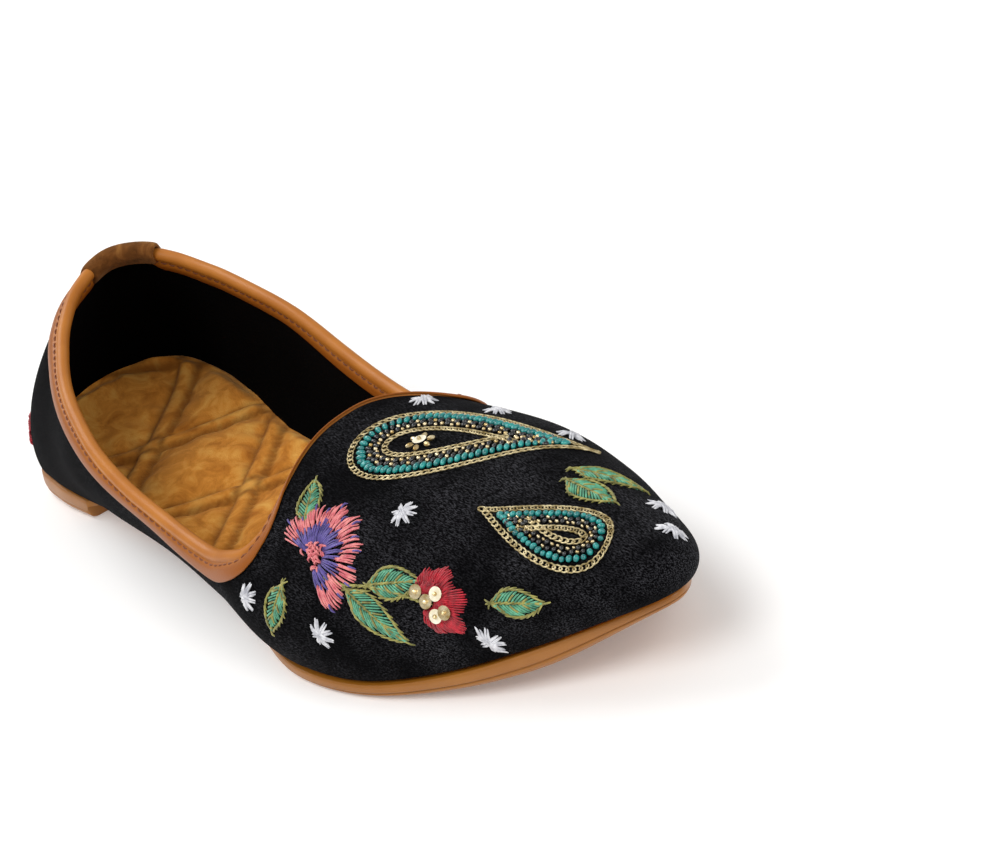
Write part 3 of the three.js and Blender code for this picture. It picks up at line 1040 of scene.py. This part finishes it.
def wall_inside(turn, height_at):
    """The lining's point at a height over the sole that changes along the foot."""

    def above(rise):
        point = last_point(turn, rise)
        x = point.x + CENTRE.x
        return point.z > sole_top(x) + height_at(x)

    rise = halved(0.0, LINING_TOP, LINING_HALVINGS, above)[0]
    normal = last_normal(turn, rise)
    normal.z = 0
    return last_point(turn, rise) - normal.normalized() * (WALL + FOOTBED_CLEARANCE)


def pad_outline(height_at):
    """The lining's outer and inner lines there, and where both begin and end along the foot."""
    shares = [i / OUTLINE_STEPS for i in range(OUTLINE_STEPS + 1)]
    outer = [wall_inside(t, height_at) for t in shares]
    inner = [wall_inside(2 - t, height_at) for t in shares]
    start = max(min(p.x for p in line) for line in (outer, inner))
    end = min(max(p.x for p in line) for line in (outer, inner))
    return outer, inner, start, end


TOP_OUTLINE, UNDER_OUTLINE = pad_outline(pad_height), pad_outline(lambda x: PAD_SEAT)
PAD_FROM, PAD_TO = TOP_OUTLINE[2:]


def outline_y(line, x, pick):
    """Where the outline crosses this x, the furthest out."""
    return pick(
        mix(p.y, q.y, (x - p.x) / (q.x - p.x))
        for p, q in zip(line, line[1:])
        if p.x != q.x and min(p.x, q.x) <= x <= max(p.x, q.x)
    )


@cache
def pad_edges(along):
    """The pad's x with its outer and inner y, on top and then underneath."""
    rows = []
    for outer, inner, start, end in (TOP_OUTLINE, UNDER_OUTLINE):
        x = mix(start + END_INSET, end - END_INSET, (1 - math.cos(math.pi * along)) / 2)
        rows.append((x, outline_y(outer, x, min), outline_y(inner, x, max)))
    return rows


print("pad from", round(PAD_FROM), "to", round(PAD_TO), "mm")

# %% The pad
FOOTBED_COLUMNS, TOP_ROWS, UNDER_ROWS = 300, 84, 6
PAD_ROWS = TOP_ROWS + UNDER_ROWS
EDGE_FALL, EDGE_DROP, PAD_SETTLE = 4.5, 0.8, 1.6
CUP_HEIGHT, CUP_REACH, CUP_FADE = 1.2, 22, (-60, 0)


def footbed_place(along, across):
    on_top, underneath = pad_edges(along)
    row = round(across * PAD_ROWS) % PAD_ROWS
    if row > TOP_ROWS:
        x, outer_y, inner_y = underneath
        y = mix(inner_y, outer_y, (row - TOP_ROWS - 1) / (UNDER_ROWS - 2))
        return Vector((x, y, sole_top(x + CENTRE.x) + PAD_SEAT))
    x, outer_y, inner_y = on_top
    y = mix(outer_y, inner_y, row / TOP_ROWS)
    near = min(y - outer_y, inner_y - y, x - PAD_FROM, PAD_TO - x)
    rolled = smoothstep(near, 0, EDGE_FALL)
    cup = CUP_HEIGHT * (1 - smoothstep(x, *CUP_FADE)) * max(0, 1 - near / CUP_REACH) ** 3
    top = sole_top(x + CENTRE.x) + pad_height(x + CENTRE.x) - PAD_SETTLE + cup
    return Vector((x, y, top + quilt_relief(x, y) * rolled - EDGE_DROP * (1 - rolled)))


footbed_bm = bmesh.new()
shaped_grid(footbed_bm, FOOTBED_COLUMNS, PAD_ROWS, footbed_place)
bmesh.ops.remove_doubles(footbed_bm, verts=footbed_bm.verts, dist=0.01)
# painted shade in the grooves beside each stitched row, kept on each vertex
groove_shade_layer = footbed_bm.verts.layers.float.new("painted_groove_shade")
for vert in footbed_bm.verts:
    vert[groove_shade_layer] = groove_shade_at(vert.co.x, vert.co.y)
footbed = new_piece("quilted_suede_footbed", footbed_bm, tan_suede)
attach(footbed, "root")
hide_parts("insole")

# %% [markdown]
# ## Rubber sole
# The sole is a thin moulded unit of tan rubber: an even colour, a satin gloss, and fine pits from
# the mould. Its side swells to a lip with a groove, tucks in under the velvet, and its tread is
# flat at the heel and forefoot with a hollow waist between. One grid runs from the middle of its
# top face out over the lip and back to the middle underneath, all round the shoe.

# %% Rubber finish
RUBBER_CLOUD, RUBBER_PIT, PIT_DEPTH = 16, 0.5, 0.12
tan_rubber, tree, shader, place, _ = clouded_finish(
    "moulded_tan_rubber",
    "#8a510c",
    "#ab6e1e",
    RUBBER_CLOUD,
    detail=3.0,
    roughness=0.4,
    ior=1.52,
    coat_weight=0.08,
    coat_roughness=0.25,
)
fine = {"Vector": place, "Scale": 1 / (RUBBER_PIT * MM), "Detail": 2.0}
pits = add_node(tree, "TexNoise", fine)
pitted = {"Height": pits, "Strength": 0.25, "Distance": PIT_DEPTH * MM}
wire(tree, shader, {"Normal": add_node(tree, "Bump", pitted)})
print("rubber grain", RUBBER_PIT, "mm")

# %% The moulded unit
SOLE_LIP, SOLE_BEVEL = 0.9, 1.4
SOLE_HEEL_COLUMNS, SOLE_REST_COLUMNS = 30, 120
SOLE_COLUMNS = 2 * (SOLE_HEEL_COLUMNS + SOLE_REST_COLUMNS)
BREAST_WIDTH = 0.5
SOLE_SPINE = 0.97
TOE_LIP, TOE_LIP_X = -1.6, 84
WAIST_TUCK = 3.6
SOLE_PROFILE = (
    # share of the way in to the middle, grown past the feather line, height share of the edge
    (1, 0, 1), (0.5, 0, 1), (0.1, 0, 1), (0, 0.25, 1), (0, 0.5, 0.97), (0, 0.72, 0.8),
    (0, 0.88, 0.62), (0, 0.93, 0.5), (0, 0.9, 0.45), (0, 0.55, 0.42), (0, 0.55, 0.39),
    (0, 0.82, 0.36), (0, 0.7, 0.25), (0, 0.2, 0.12), (0, -0.7, 0.04), (0, -1.25, 0.01),
    (0, -1.7, 0), (0.15, 0, 0), (0.5, 0, 0), (1, 0, 0),
)


def sole_turn(share):
    """Turn round the sole, with two columns standing at the heel's breast."""
    if share > 0.5:
        return 2 - sole_turn(1 - share)
    column = share * SOLE_COLUMNS
    if column <= SOLE_HEEL_COLUMNS:
        return station_of(HEEL_BREAST_X) * column / SOLE_HEEL_COLUMNS
    start = station_of(HEEL_BREAST_X + BREAST_WIDTH)
    return mix(start, 1, (column - SOLE_HEEL_COLUMNS - 1) / (SOLE_REST_COLUMNS - 1))


def sole_place(along, across):
    turn = sole_turn(along)
    inward, grown, level_share = SOLE_PROFILE[round(across * (len(SOLE_PROFILE) - 1))]
    foot, row, _ = feather(turn)
    tuck = (TOE_LIP - SOLE_LIP) * smoothstep(foot.x, TOE_LIP_X, HALF_LENGTH)
    tuck -= WAIST_TUCK * waist_share(foot.x, HEEL_BREAST_X)
    place = foot + outward_at(turn) * (tuck + (grown if inward == 0 else -SOLE_BEVEL))
    place.y = mix(place.y, (row["outer"] + row["inner"]) / 2, inward)
    place.x = mix(place.x, foot.x * SOLE_SPINE, inward)
    place.z = mix(sole_bottom(place.x), sole_top(place.x), level_share)
    if HEEL_BREAST_X < foot.x < WAIST_END_X:
        place.z = max(place.z, heel_rise(place.x))
    return place - CENTRE


sole_bm = bmesh.new()
shaped_grid(sole_bm, SOLE_COLUMNS, len(SOLE_PROFILE) - 1, sole_place)
bmesh.ops.reverse_faces(sole_bm, faces=sole_bm.faces)
bmesh.ops.remove_doubles(sole_bm, verts=sole_bm.verts, dist=0.01)
sole = new_piece("rubber_sole", sole_bm, tan_rubber)
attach(sole, "root")
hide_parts("outsole")

# %% [markdown]
# ## Thread and bead work
# The vamp carries a hand-worked garden in the style of old paisley shawls: two beaded teardrops in
# gold chain-stitch borders, a fan of pink and purple petals, a red bud with sequins, leaves on a
# stem and scattered star stitches. A pattern like this is drawn flat on paper and pricked through
# on to the cloth. In the same way the vamp is first laid out as a flat sheet: so far along the
# foot and so far across from the ridge, measured over the velvet. Every stitch is drawn on that
# sheet and then carried to the skin.

# %% The vamp as a flat sheet
SHEET_FROM, SHEET_TO, SHEET_HALF = 16, 122, 56
RIB_STEPS = 40


def rib_row(turn):
    """Points at each millimetre over the velvet, from the ridge down a rib."""
    points = [skin_point(turn, 1 - i / RIB_STEPS) for i in range(RIB_STEPS + 1)]
    lengths = lengths_along(points)
    row = []
    for across in range(SHEET_HALF + 1):
        k, t = step_at(lengths, across)
        row.append(points[k].lerp(points[k + 1], min(1, t)))
    return row


SHEET = []
for x in range(SHEET_FROM, SHEET_TO + 1):
    SHEET.append(rib_row(station_of(x))[:0:-1] + rib_row(2 - station_of(x)))


def on_vamp(along, across, lift=0.0):
    """Place on the velvet, raised by lift; across is negative on the outer side."""
    i = clamp(int(along - SHEET_FROM), 0, len(SHEET) - 2)
    j = clamp(math.floor(across + SHEET_HALF), 0, 2 * SHEET_HALF - 1)
    u, v = along - SHEET_FROM - i, across + SHEET_HALF - j
    p, q, r, s = SHEET[i][j], SHEET[i + 1][j], SHEET[i][j + 1], SHEET[i + 1][j + 1]
    place = p.lerp(q, u).lerp(r.lerp(s, u), v)
    if lift == 0:
        return place
    return place + (q - p + s - r).cross(r - p + s - q).normalized() * lift


print("vamp sheet", len(SHEET), "by", len(SHEET[0]), "points")

# %% [markdown]
# ### Floss, metal thread and beads
# Embroidery floss is rayon: long smooth fibres, laid side by side, that shine across their length.
# The gold borders are cotton wrapped in metal foil. The beads are small pressed glass, glossy and
# dyed right through, with gilt seed beads between. All are too small for a pattern of their own,
# so the colour only drifts from stitch to stitch, which a noise a few millimetres wide gives.

# %% Embroidery finishes
DRIFT, DRIFT_SPREAD = 1.6, (0.32, 0.68)
FLOSS = {"roughness": 0.45, "ior": 1.47, "sheen_weight": 0.2, "sheen_roughness": 0.4}
GLASS = {"roughness": 0.12, "ior": 1.52, "coat_weight": 0.5, "coat_roughness": 0.08}
FLOSS_TONES = {
    "pink": ("#c95a66", "#ee9490"),
    "purple": ("#3d3374", "#6555a3"),
    "red": ("#7d0a19", "#cc1b31"),
    "green": ("#347b5e", "#6fbd96"),
    "olive": ("#66642a", "#a9a255"),
    "white": ("#a9aab2", "#eeeef1"),
}


def stitched_finish(name, dark, pale, **shader_values):
    return clouded_finish(name, dark, pale, DRIFT, DRIFT_SPREAD, **shader_values)[0]


floss = {
    colour: stitched_finish(colour + "_rayon_floss", *tones, **FLOSS)
    for colour, tones in FLOSS_TONES.items()
}
gold_foil = stitched_finish("gold_foil_thread", "#8f7a48", "#ecdcae", metallic=0.5, roughness=0.4)
teal_glass = stitched_finish("teal_pressed_glass", "#0a5c5e", "#25a39d", **GLASS)
jet_glass = stitched_finish("black_pressed_glass", "#050608", "#15181c", **GLASS)
gilt_bead = stitched_finish("gilt_seed_bead", "#b99a5c", "#f6e7c0", metallic=0.8, roughness=0.25)
cream_sequin = stitched_finish("cream_sequin", "#e7dcb9", "#fff8e4", roughness=0.2, ior=1.5)
print("floss colours:", ", ".join(floss))

# %% [markdown]
# ### Drawing on the sheet
# Every stitch below is a few points on the flat sheet with a height over the velvet. The helpers
# walk a line in even steps, lay one straight stitch that arches over the pile, and lay loops of
# chain stitch.

# %% Stitches on the sheet
random.seed(7)
THREAD = 0.24
SINK = 0.15
STITCH_ARCH = (
    # share of the length, share of the height, share of the thickness
    (0, 0, 0.6), (0.22, 0.8, 1), (0.5, 1, 1), (0.78, 0.8, 1), (1, 0, 0.6),
)
LINK, LINK_WIDTH, LINK_HEIGHT, LINK_TILT = 2.4, 1.25, 0.34, 0.12
LINK_SPACING, LINK_KNOTS = 1.55, 8


def even_steps(points, spacing):
    """Places and directions at even steps along a line drawn on the sheet."""
    lengths = lengths_along(points)
    count = max(1, round(lengths[-1] / spacing))
    steps = []
    for i in range(count + 1):
        k, t = step_at(lengths, lengths[-1] * i / count)
        ahead = (points[k + 1] - points[k]).normalized()
        steps.append((points[k].lerp(points[k + 1], t), ahead))
    return steps


def straight_stitch(start, end, arch, onto=on_vamp):
    """One stitch from hole to hole, thin and sunk at its ends, arched over the pile between."""
    path = []
    for t, height, thickness in STITCH_ARCH:
        spot = start.lerp(end, t)
        path.append((onto(spot.x, spot.y, arch * height if height else -SINK), thickness))
    return path


def turned(vector, degrees):
    cosine, sine = math.cos(math.radians(degrees)), math.sin(math.radians(degrees))
    return Vector((vector.x * cosine - vector.y * sine, vector.x * sine + vector.y * cosine))


def polar(radius, degrees):
    return turned(Vector((radius, 0)), degrees)


def chain_line(points):
    """Loops of chain stitch, each lying along the line and over the end of the one before."""
    loops = []
    for spot, ahead in even_steps(points, LINK_SPACING):
        beside = turned(ahead, 90)
        loop = []
        for i in range(LINK_KNOTS):
            angle = 2 * math.pi * i / LINK_KNOTS
            forward, sideways = LINK / 2 * math.cos(angle), LINK_WIDTH / 2 * math.sin(angle)
            place = spot + ahead * forward + beside * sideways
            lift = LINK_HEIGHT + LINK_TILT * math.cos(angle)
            loop.append((on_vamp(place.x, place.y, lift), 1))
        loops.append(loop)
    return loops


def embroider(name, paths, material, radius=THREAD, closed=False):
    """A piece of floss from its stitches."""
    piece = thread_piece(name, paths, radius, material, sides=0, closed=closed)


print("one stitch has", len(STITCH_ARCH), "knots, one link", LINK_KNOTS)

# %% [markdown]
# ### Beaded teardrops
# Each teardrop is a border of gold chain stitch, a band of bead rows just inside it, and a second
# gold border round the bare velvet in the middle. A bead row slants across the band: teal glass on
# the outer side, then jet with a gilt seed bead beside it. A curl at the tip keeps the shape from
# looking stiff.

# %% Teardrop outlines
TEARDROPS = (
    # round end along, across; tip along, across; half width; curl of the tip; width of the band
    (31, -7, 80, 13, 15.5, 9, 5.6),
    (112, -4, 80, -14, 9, -4, 3.8),
)
DROP_POINTS = 90
DROP_POWER, DROP_WIDEST = 1.35, 0.86
CURL_POWER = 2.5


def inward_at(line, i):
    """Direction to the left of a line at one of its points, which is inwards on a teardrop."""
    return turned((line[min(i + 1, len(line) - 1)] - line[max(i - 1, 0)]).normalized(), 90)


def teardrop(row, inset=0.0, open_tip=0.0):
    """Points round a teardrop with a curled tip, moved inwards by an even distance."""
    start, tip = Vector(row[0:2]), Vector(row[2:4])
    half_width, curl = row[4:6]
    length, axis = (tip - start).length, (tip - start).normalized()
    beside = turned(axis, 90)
    points = []
    for i in range(DROP_POINTS + 1):
        angle = 2 * math.pi * mix(open_tip, 1 - open_tip, i / DROP_POINTS)
        to_tip = (1 + math.cos(angle)) / 2
        half = half_width * math.sin(angle) * math.sin(angle / 2) ** DROP_POWER / DROP_WIDEST
        aside = half + curl * to_tip**CURL_POWER
        points.append(start + axis * (length * to_tip) + beside * aside)
    return [spot + inward_at(points, i) * inset for i, spot in enumerate(points)]


print("teardrop points", len(teardrop(TEARDROPS[0])))

# %% Bead rows
ROW_SPACING, ROW_SLANT, ROW_SWAY = 1.45, 18, 0.12
BORDER = 1.1
FULL_BAND = 5.6
HEART_GAP, BAND_GAP = 0.17, 0.075  # shares of the outline left open at the tip
BEAD_SEAT = 0.8
BEAD_ROWS = (
    # for each kind of row: (share across the band, half length, half width, material slot)
    ((-0.28, 1.2, 0.68, 0), (0.07, 0.52, 0.52, 1), (0.33, 0.9, 0.58, 2)),
    ((-0.32, 0.95, 0.62, 0), (0.02, 0.85, 0.55, 2), (0.36, 0.52, 0.52, 1)),
    ((-0.27, 1.2, 0.7, 0), (0.12, 0.95, 0.56, 2), (0.41, 0.45, 0.45, 1)),
)


def give_slot(made, slot):
    """Gives the faces that an operator has just made their material."""
    for face in {face for vert in made["verts"] for face in vert.link_faces}:
        face.material_index = slot


def above_velvet(spot):
    return (on_vamp(spot.x, spot.y, 2) - on_vamp(spot.x, spot.y)).normalized()


def add_bead(bm, spot, along, half_length, half_width, slot, lift=0.0):
    """An oval bead lying on the velvet with its long axis along a direction on the sheet."""
    height = half_width * BEAD_SEAT + lift
    place = on_vamp(spot.x, spot.y, height)
    long_axis = (on_vamp(spot.x + along.x, spot.y + along.y, height) - place).normalized()
    wide_axis = above_velvet(spot).cross(long_axis).normalized()
    axes = Matrix((wide_axis, long_axis.cross(wide_axis), long_axis)).transposed().to_4x4()
    shape = Matrix.Diagonal((half_width, half_width, half_length, 1))
    pose = Matrix.Translation(place) @ axes @ shape
    made = bmesh.ops.create_uvsphere(bm, u_segments=8, v_segments=6, radius=1, matrix=pose)
    give_slot(made, slot)


def depth_inside(spot, line):
    """How far a spot lies inside a line that has its inner side to the left."""
    i = min(range(len(line)), key=lambda k: (spot - line[k]).length)
    return (spot - line[i]).dot(inward_at(line, i))


bead_bm = bmesh.new()
gold_paths = []
for row in TEARDROPS:
    band = row[6]
    border = teardrop(row)
    gold_paths += chain_line(border)
    gold_paths += chain_line(teardrop(row, band + 2 * BORDER, HEART_GAP))
    middle_line = teardrop(row, band / 2 + BORDER, BAND_GAP)
    for i, (spot, ahead) in enumerate(even_steps(middle_line, ROW_SPACING)):
        slanted = turned(ahead, 90 - ROW_SLANT)
        for across, half_length, half_width, slot in BEAD_ROWS[i % len(BEAD_ROWS)]:
            place = spot + slanted * (across * band + random.uniform(-ROW_SWAY, ROW_SWAY))
            if depth_inside(place, border) > BORDER:
                half_length *= band / FULL_BAND
                add_bead(bead_bm, place, slanted, half_length, half_width, slot)
beads = new_piece("beaded_teardrops", bead_bm, teal_glass, gilt_bead, jet_glass)
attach(beads, "root")
embroider("gold_chain_borders", gold_paths, gold_foil, radius=0.2, closed=True)

# %% [markdown]
# ### Fan flower
# A fan of lobed petals is filled with long-and-short stitch: straight stitches side by side, all
# pointing to the foot of the fan, with the purple ones reaching out between the pink ones so the
# colours blend. A heap of short loose stitches covers the foot.

# %% Pink and purple fan
FAN_FOOT, FAN_AXIS = Vector((46, -36)), 62
FAN_SPREAD, FAN_LOBES, LOBE_DEPTH = 220, 7, 0.16
FAN_RADIUS, FAN_HEART = 13.5, 2.6
FAN_STITCH, STITCHED_RADIUS = 0.4, 0.72  # spacing, and the share of the radius where it is met
FAN_SWAY, FAN_SLANT = 1.4, 2.5  # degrees
EDGE_SHARE, MEETING_SHARE, PURPLE_SHARE = (0.94, 1.03), (0.48, 0.66), (0.58, 0.84)
TIP_FROM, TIP_TO = 0.86, 1.04
PINK_ARCH, PURPLE_ARCH, TIP_ARCH = (0.5, 0.75), 0.8, 0.7
HEART_STITCHES, HEART_STITCH, HEART_ARCH = 46, 1.5, 0.9
HEART_REACH, HEART_DEGREES = (0.2, FAN_HEART + 0.8), (-60, 190)


def fan_edge(degrees):
    """Radius of the lobed outer edge at an angle from the fan's axis."""
    lobe = abs(math.cos(math.radians(degrees * FAN_LOBES * 180 / FAN_SPREAD)))
    return FAN_RADIUS * (1 - LOBE_DEPTH + LOBE_DEPTH * lobe)


def fan_stitch(paths, ray, start, end_ray, end, arch):
    paths.append(straight_stitch(FAN_FOOT + ray * start, FAN_FOOT + end_ray * end, arch))


pink_paths, purple_paths = [], []
fan_steps = int(math.radians(FAN_SPREAD) * FAN_RADIUS * STITCHED_RADIUS / FAN_STITCH)
for i in range(fan_steps + 1):
    degrees = FAN_SPREAD * (i / fan_steps - 0.5) + random.uniform(-FAN_SWAY, FAN_SWAY)
    ray = polar(1, FAN_AXIS + degrees)
    aslant = polar(1, FAN_AXIS + degrees + random.uniform(-FAN_SLANT, FAN_SLANT))
    edge = fan_edge(degrees) * random.uniform(*EDGE_SHARE)
    meeting = edge * random.uniform(*MEETING_SHARE)
    fan_stitch(pink_paths, ray, meeting, aslant, edge, random.uniform(*PINK_ARCH))
    if i % 2 == 0:
        purple_end = edge * random.uniform(*PURPLE_SHARE)
        fan_stitch(purple_paths, ray, FAN_HEART, aslant, purple_end, PURPLE_ARCH)
    if i % 7 == 3:
        fan_stitch(purple_paths, ray, edge * TIP_FROM, ray, edge * TIP_TO, TIP_ARCH)
for _ in range(HEART_STITCHES):
    knot = FAN_FOOT + polar(random.uniform(*HEART_REACH), random.uniform(*HEART_DEGREES))
    end = knot + polar(HEART_STITCH, random.uniform(0, 360))
    pink_paths.append(straight_stitch(knot, end, HEART_ARCH))
embroider("pink_fan_stitches", pink_paths, floss["pink"])
embroider("purple_fan_stitches", purple_paths, floss["purple"])

# %% [markdown]
# ### Leaves and stem
# A leaf is worked in fishbone stitch: short slanting stitches from the midrib out to each edge,
# with an outline of stem stitch, short overlapping stitches in a row like a rope. The stem is the
# same stitch.

# %% Fishbone leaves
LEAVES = (
    # base along, across; tip along, across; half width
    (58, -39, 73, -44, 3.4),
    (63, -36, 75, -30, 3.2),
    (40, -44, 37, -55, 3.0),
    (38, -30, 32, -20, 2.8),
    (84, 10, 97, 17, 3.3),
    (87, 6, 102, 6, 3.3),
    (92, -27, 103, -22, 2.6),
)
LEAF_STITCH, LEAF_SLANT, LEAF_OVERLAP = 0.74, 0.26, 0.12
LEAF_BELLY, LEAF_ROUND = 0.85, 0.8
LEAF_ARCH, VEIN_ARCH = 0.42, 0.55
LEAF_REACH, VEIN_FROM, VEIN_TO = (0.82, 1.05), 0.1, 0.8
STEM = ((50, -39), (57, -38.5), (64, -36), (71, -34.5), (78, -33.5))
STEM_STITCH, STEM_SPACING, STEM_LEAN = 3.2, 0.48, 11
green_paths, olive_paths = [], []


def stem_stitch(points):
    """Short stitches along a line, each leaning across the end of the one before."""
    for spot, ahead in even_steps(points, STEM_STITCH * STEM_SPACING):
        lean = turned(ahead, STEM_LEAN) * (STEM_STITCH / 2)
        olive_paths.append(straight_stitch(spot - lean, spot + lean, LEAF_ARCH))


for *ends, half in LEAVES:
    base, tip = Vector(ends[:2]), Vector(ends[2:])
    axis = tip - base
    beside = turned(axis, 90).normalized()
    count = int(axis.length / LEAF_STITCH)
    for edge_side in (-1, 1):
        outline = []
        for i in range(count):
            reach = min(1, i / count + LEAF_SLANT)
            width = half * math.sin(math.pi * reach**LEAF_BELLY) ** LEAF_ROUND
            edge = base + axis * reach + beside * (edge_side * width)
            start = base + axis * (i / count) - beside * (edge_side * LEAF_OVERLAP)
            outline.append(edge)
            end = start.lerp(edge, random.uniform(*LEAF_REACH))
            green_paths.append(straight_stitch(start, end, LEAF_ARCH))
            if i % 4 == 1:
                vein = start.lerp(edge, VEIN_FROM), start.lerp(edge, VEIN_TO)
                olive_paths.append(straight_stitch(*vein, VEIN_ARCH))
        stem_stitch([base] + outline)
    stem_stitch([base, tip])
stem_stitch([Vector(spot) for spot in STEM])
embroider("green_leaf_stitches", green_paths, floss["green"])
embroider("olive_leaf_stitches", olive_paths, floss["olive"])

# %% [markdown]
# ### Red bud with sequins
# Petals of satin stitch, parallel stitches from foot to tip, make a bud. Cupped sequins, each held
# down by a seed bead, cover the foot of the petals. A small five-petalled flower of the same red
# floss is sewn on the heel, on a patch of skin that is mapped by its nearest point.

# %% Satin petals
BUD_FOOT, BUD_AXIS = Vector((78, -33)), 26
BUD_PETALS = ((-80, 6.8, 2.9), (80, 6.8, 2.9), (-42, 9, 3.3), (42, 9, 3.3), (0, 10, 3.4))
HEEL_PETALS, HEEL_PETAL_LENGTH, HEEL_PETAL_HALF = 5, 7, 2.3
SATIN, SATIN_START = 0.46, 1.2
PETAL_FOOT, PETAL_ROUND = 0.45, 0.42  # share of the width at the foot, and of the length lost
PETAL_REACH, PETAL_BREAK, PETAL_OVERLAP = (0.94, 1.04), (0.4, 0.62), 0.72
FOOT_ARCH, TIP_ARCH_RANGE = 0.75, (0.5, 0.7)
HEEL_TURN, HEEL_MOTIF_RISE, HEEL_STEP = 0.097, 0.235, 0.02
HEEL_MIDDLE = skin_point(HEEL_TURN, HEEL_MOTIF_RISE)
HEEL_ALONG = (skin_point(HEEL_TURN + HEEL_STEP, HEEL_MOTIF_RISE) - HEEL_MIDDLE).normalized()
HEEL_UP = last_normal(HEEL_TURN, HEEL_MOTIF_RISE).cross(HEEL_ALONG).normalized()
red_paths = []


def on_heel(along, across, lift=0.0):
    """Place on the velvet near the heel motif's middle, raised by lift."""
    near = HEEL_MIDDLE + HEEL_ALONG * along + HEEL_UP * across
    place, normal, _, _ = SKIN.find_nearest(near)
    return place + normal * lift


def satin_petal(foot, degrees, length, half, onto=on_vamp):
    """Parallel stitches from foot to tip, each in two lengths that overlap."""
    axis = polar(1, degrees)
    beside = turned(axis, 90)
    count = int(2 * half / SATIN)
    for i in range(count + 1):
        offset = 2 * i / count - 1
        root = foot + axis * SATIN_START + beside * (half * PETAL_FOOT * offset)
        reach = length * (1 - PETAL_ROUND * offset**2) * random.uniform(*PETAL_REACH)
        top = foot + axis * reach + beside * (half * offset)
        middle = root.lerp(top, random.uniform(*PETAL_BREAK))
        again = root.lerp(middle, PETAL_OVERLAP)
        red_paths.append(straight_stitch(root, middle, FOOT_ARCH, onto))
        red_paths.append(straight_stitch(again, top, random.uniform(*TIP_ARCH_RANGE), onto))


for lean, length, half in BUD_PETALS:
    satin_petal(BUD_FOOT, BUD_AXIS + lean, length, half)
for k in range(HEEL_PETALS):
    degrees = 90 + 360 / HEEL_PETALS * k
    satin_petal(Vector((0, 0)), degrees, HEEL_PETAL_LENGTH, HEEL_PETAL_HALF, on_heel)
embroider("red_bud_stitches", red_paths, floss["red"])

# %% Sequins
SEQUIN, SEQUIN_FOOT, SEQUIN_CUP, SEQUIN_LIFT = 1.6, 0.55, 0.4, 1.0
SEQUIN_BEAD = 0.5
SEQUINS = (
    # along and across from the bud's foot, material slot
    (0.2, 0, 0), (3.0, 1.3, 1), (1.6, -2.8, 1), (-2.0, 2.0, 0), (4.0, -2.2, 0),
)
ROSETTE_SHARE, ROSETTE_RADIUS, ROSETTE_BEADS = 0.31, 2.4, 6
ROSETTE_BEAD = (1.0, 0.62)
sequin_bm = bmesh.new()


def add_sequin(bm, spot, slot):
    """A shallow cup with a bead in its hole, tilted with the velvet."""
    tilt = above_velvet(spot).to_track_quat("Z", "Y").to_matrix().to_4x4()
    cup = bmesh.ops.create_cone(
        bm,
        cap_ends=True,
        segments=16,
        radius1=SEQUIN * SEQUIN_FOOT,
        radius2=SEQUIN,
        depth=SEQUIN_CUP,
        matrix=Matrix.Translation(on_vamp(spot.x, spot.y, SEQUIN_LIFT)) @ tilt,
    )
    give_slot(cup, slot)
    add_bead(bm, spot, Vector((1, 0)), SEQUIN_BEAD, SEQUIN_BEAD, 0, lift=SEQUIN_LIFT)


for along, across, slot in SEQUINS:
    add_sequin(sequin_bm, BUD_FOOT + turned(Vector((along, across)), BUD_AXIS), slot)
drop = TEARDROPS[0]
rosette = Vector(drop[0:2]).lerp(Vector(drop[2:4]), ROSETTE_SHARE)
for i in range(ROSETTE_BEADS):
    ray = polar(1, 360 / ROSETTE_BEADS * i)
    add_bead(sequin_bm, rosette + ray * ROSETTE_RADIUS, ray, *ROSETTE_BEAD, 0)
add_sequin(sequin_bm, rosette, 1)
sequins = new_piece("sequins", sequin_bm, gilt_bead, cream_sequin, smooth=False)
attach(sequins, "root")

# %% [markdown]
# ### Star stitches
# The small white stars are four thick strokes of floss laid across each other, two threads to a
# stroke, each stroke a little higher than the one before.

# %% Stars
STARS = (
    # along, across, turn in degrees
    (29, 13, 10), (46, 20, 35), (66, 24, 0), (105, 15, 20), (117, 8, 30), (62, -19, 15),
    (29, -50, 40), (52, -51, 25), (91, -36, 5),
)
STAR_REACH, STAR_STROKES, STAR_THREADS = 3.1, 4, 2
STAR_THREAD, STAR_GAP = 0.34, 0.5
STAR_SWAY, STAR_UNEVEN = 7, (0.82, 1.1)
STAR_ARCH, STROKE_RISE = 0.35, 0.14
white_paths = []
for along, across, start_turn in STARS:
    for k in range(STAR_STROKES):
        sway = random.uniform(-STAR_SWAY, STAR_SWAY)
        stroke = polar(1, start_turn + 180 / STAR_STROKES * k + sway)
        for j in range(STAR_THREADS):
            aside = (j - (STAR_THREADS - 1) / 2) * STAR_GAP
            middle = Vector((along, across)) + turned(stroke, 90) * aside
            reach = stroke * STAR_REACH * random.uniform(*STAR_UNEVEN)
            arch = STAR_ARCH + STROKE_RISE * k
            white_paths.append(straight_stitch(middle - reach, middle + reach, arch))
embroider("white_star_stitches", white_paths, floss["white"], radius=STAR_THREAD)

# %% [markdown]
# ## Sizes and finish
# The visual model may stand only a little proud of the solids, so both boxes are written down side
# by side before the frame is checked.

# %% Write the sizes
boxes = {"cad": CAD_BOX, "visual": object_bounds()}
for name, (low, high) in boxes.items():
    print(name, "box in mm:", [round(v / MM, 1) for v in high - low])
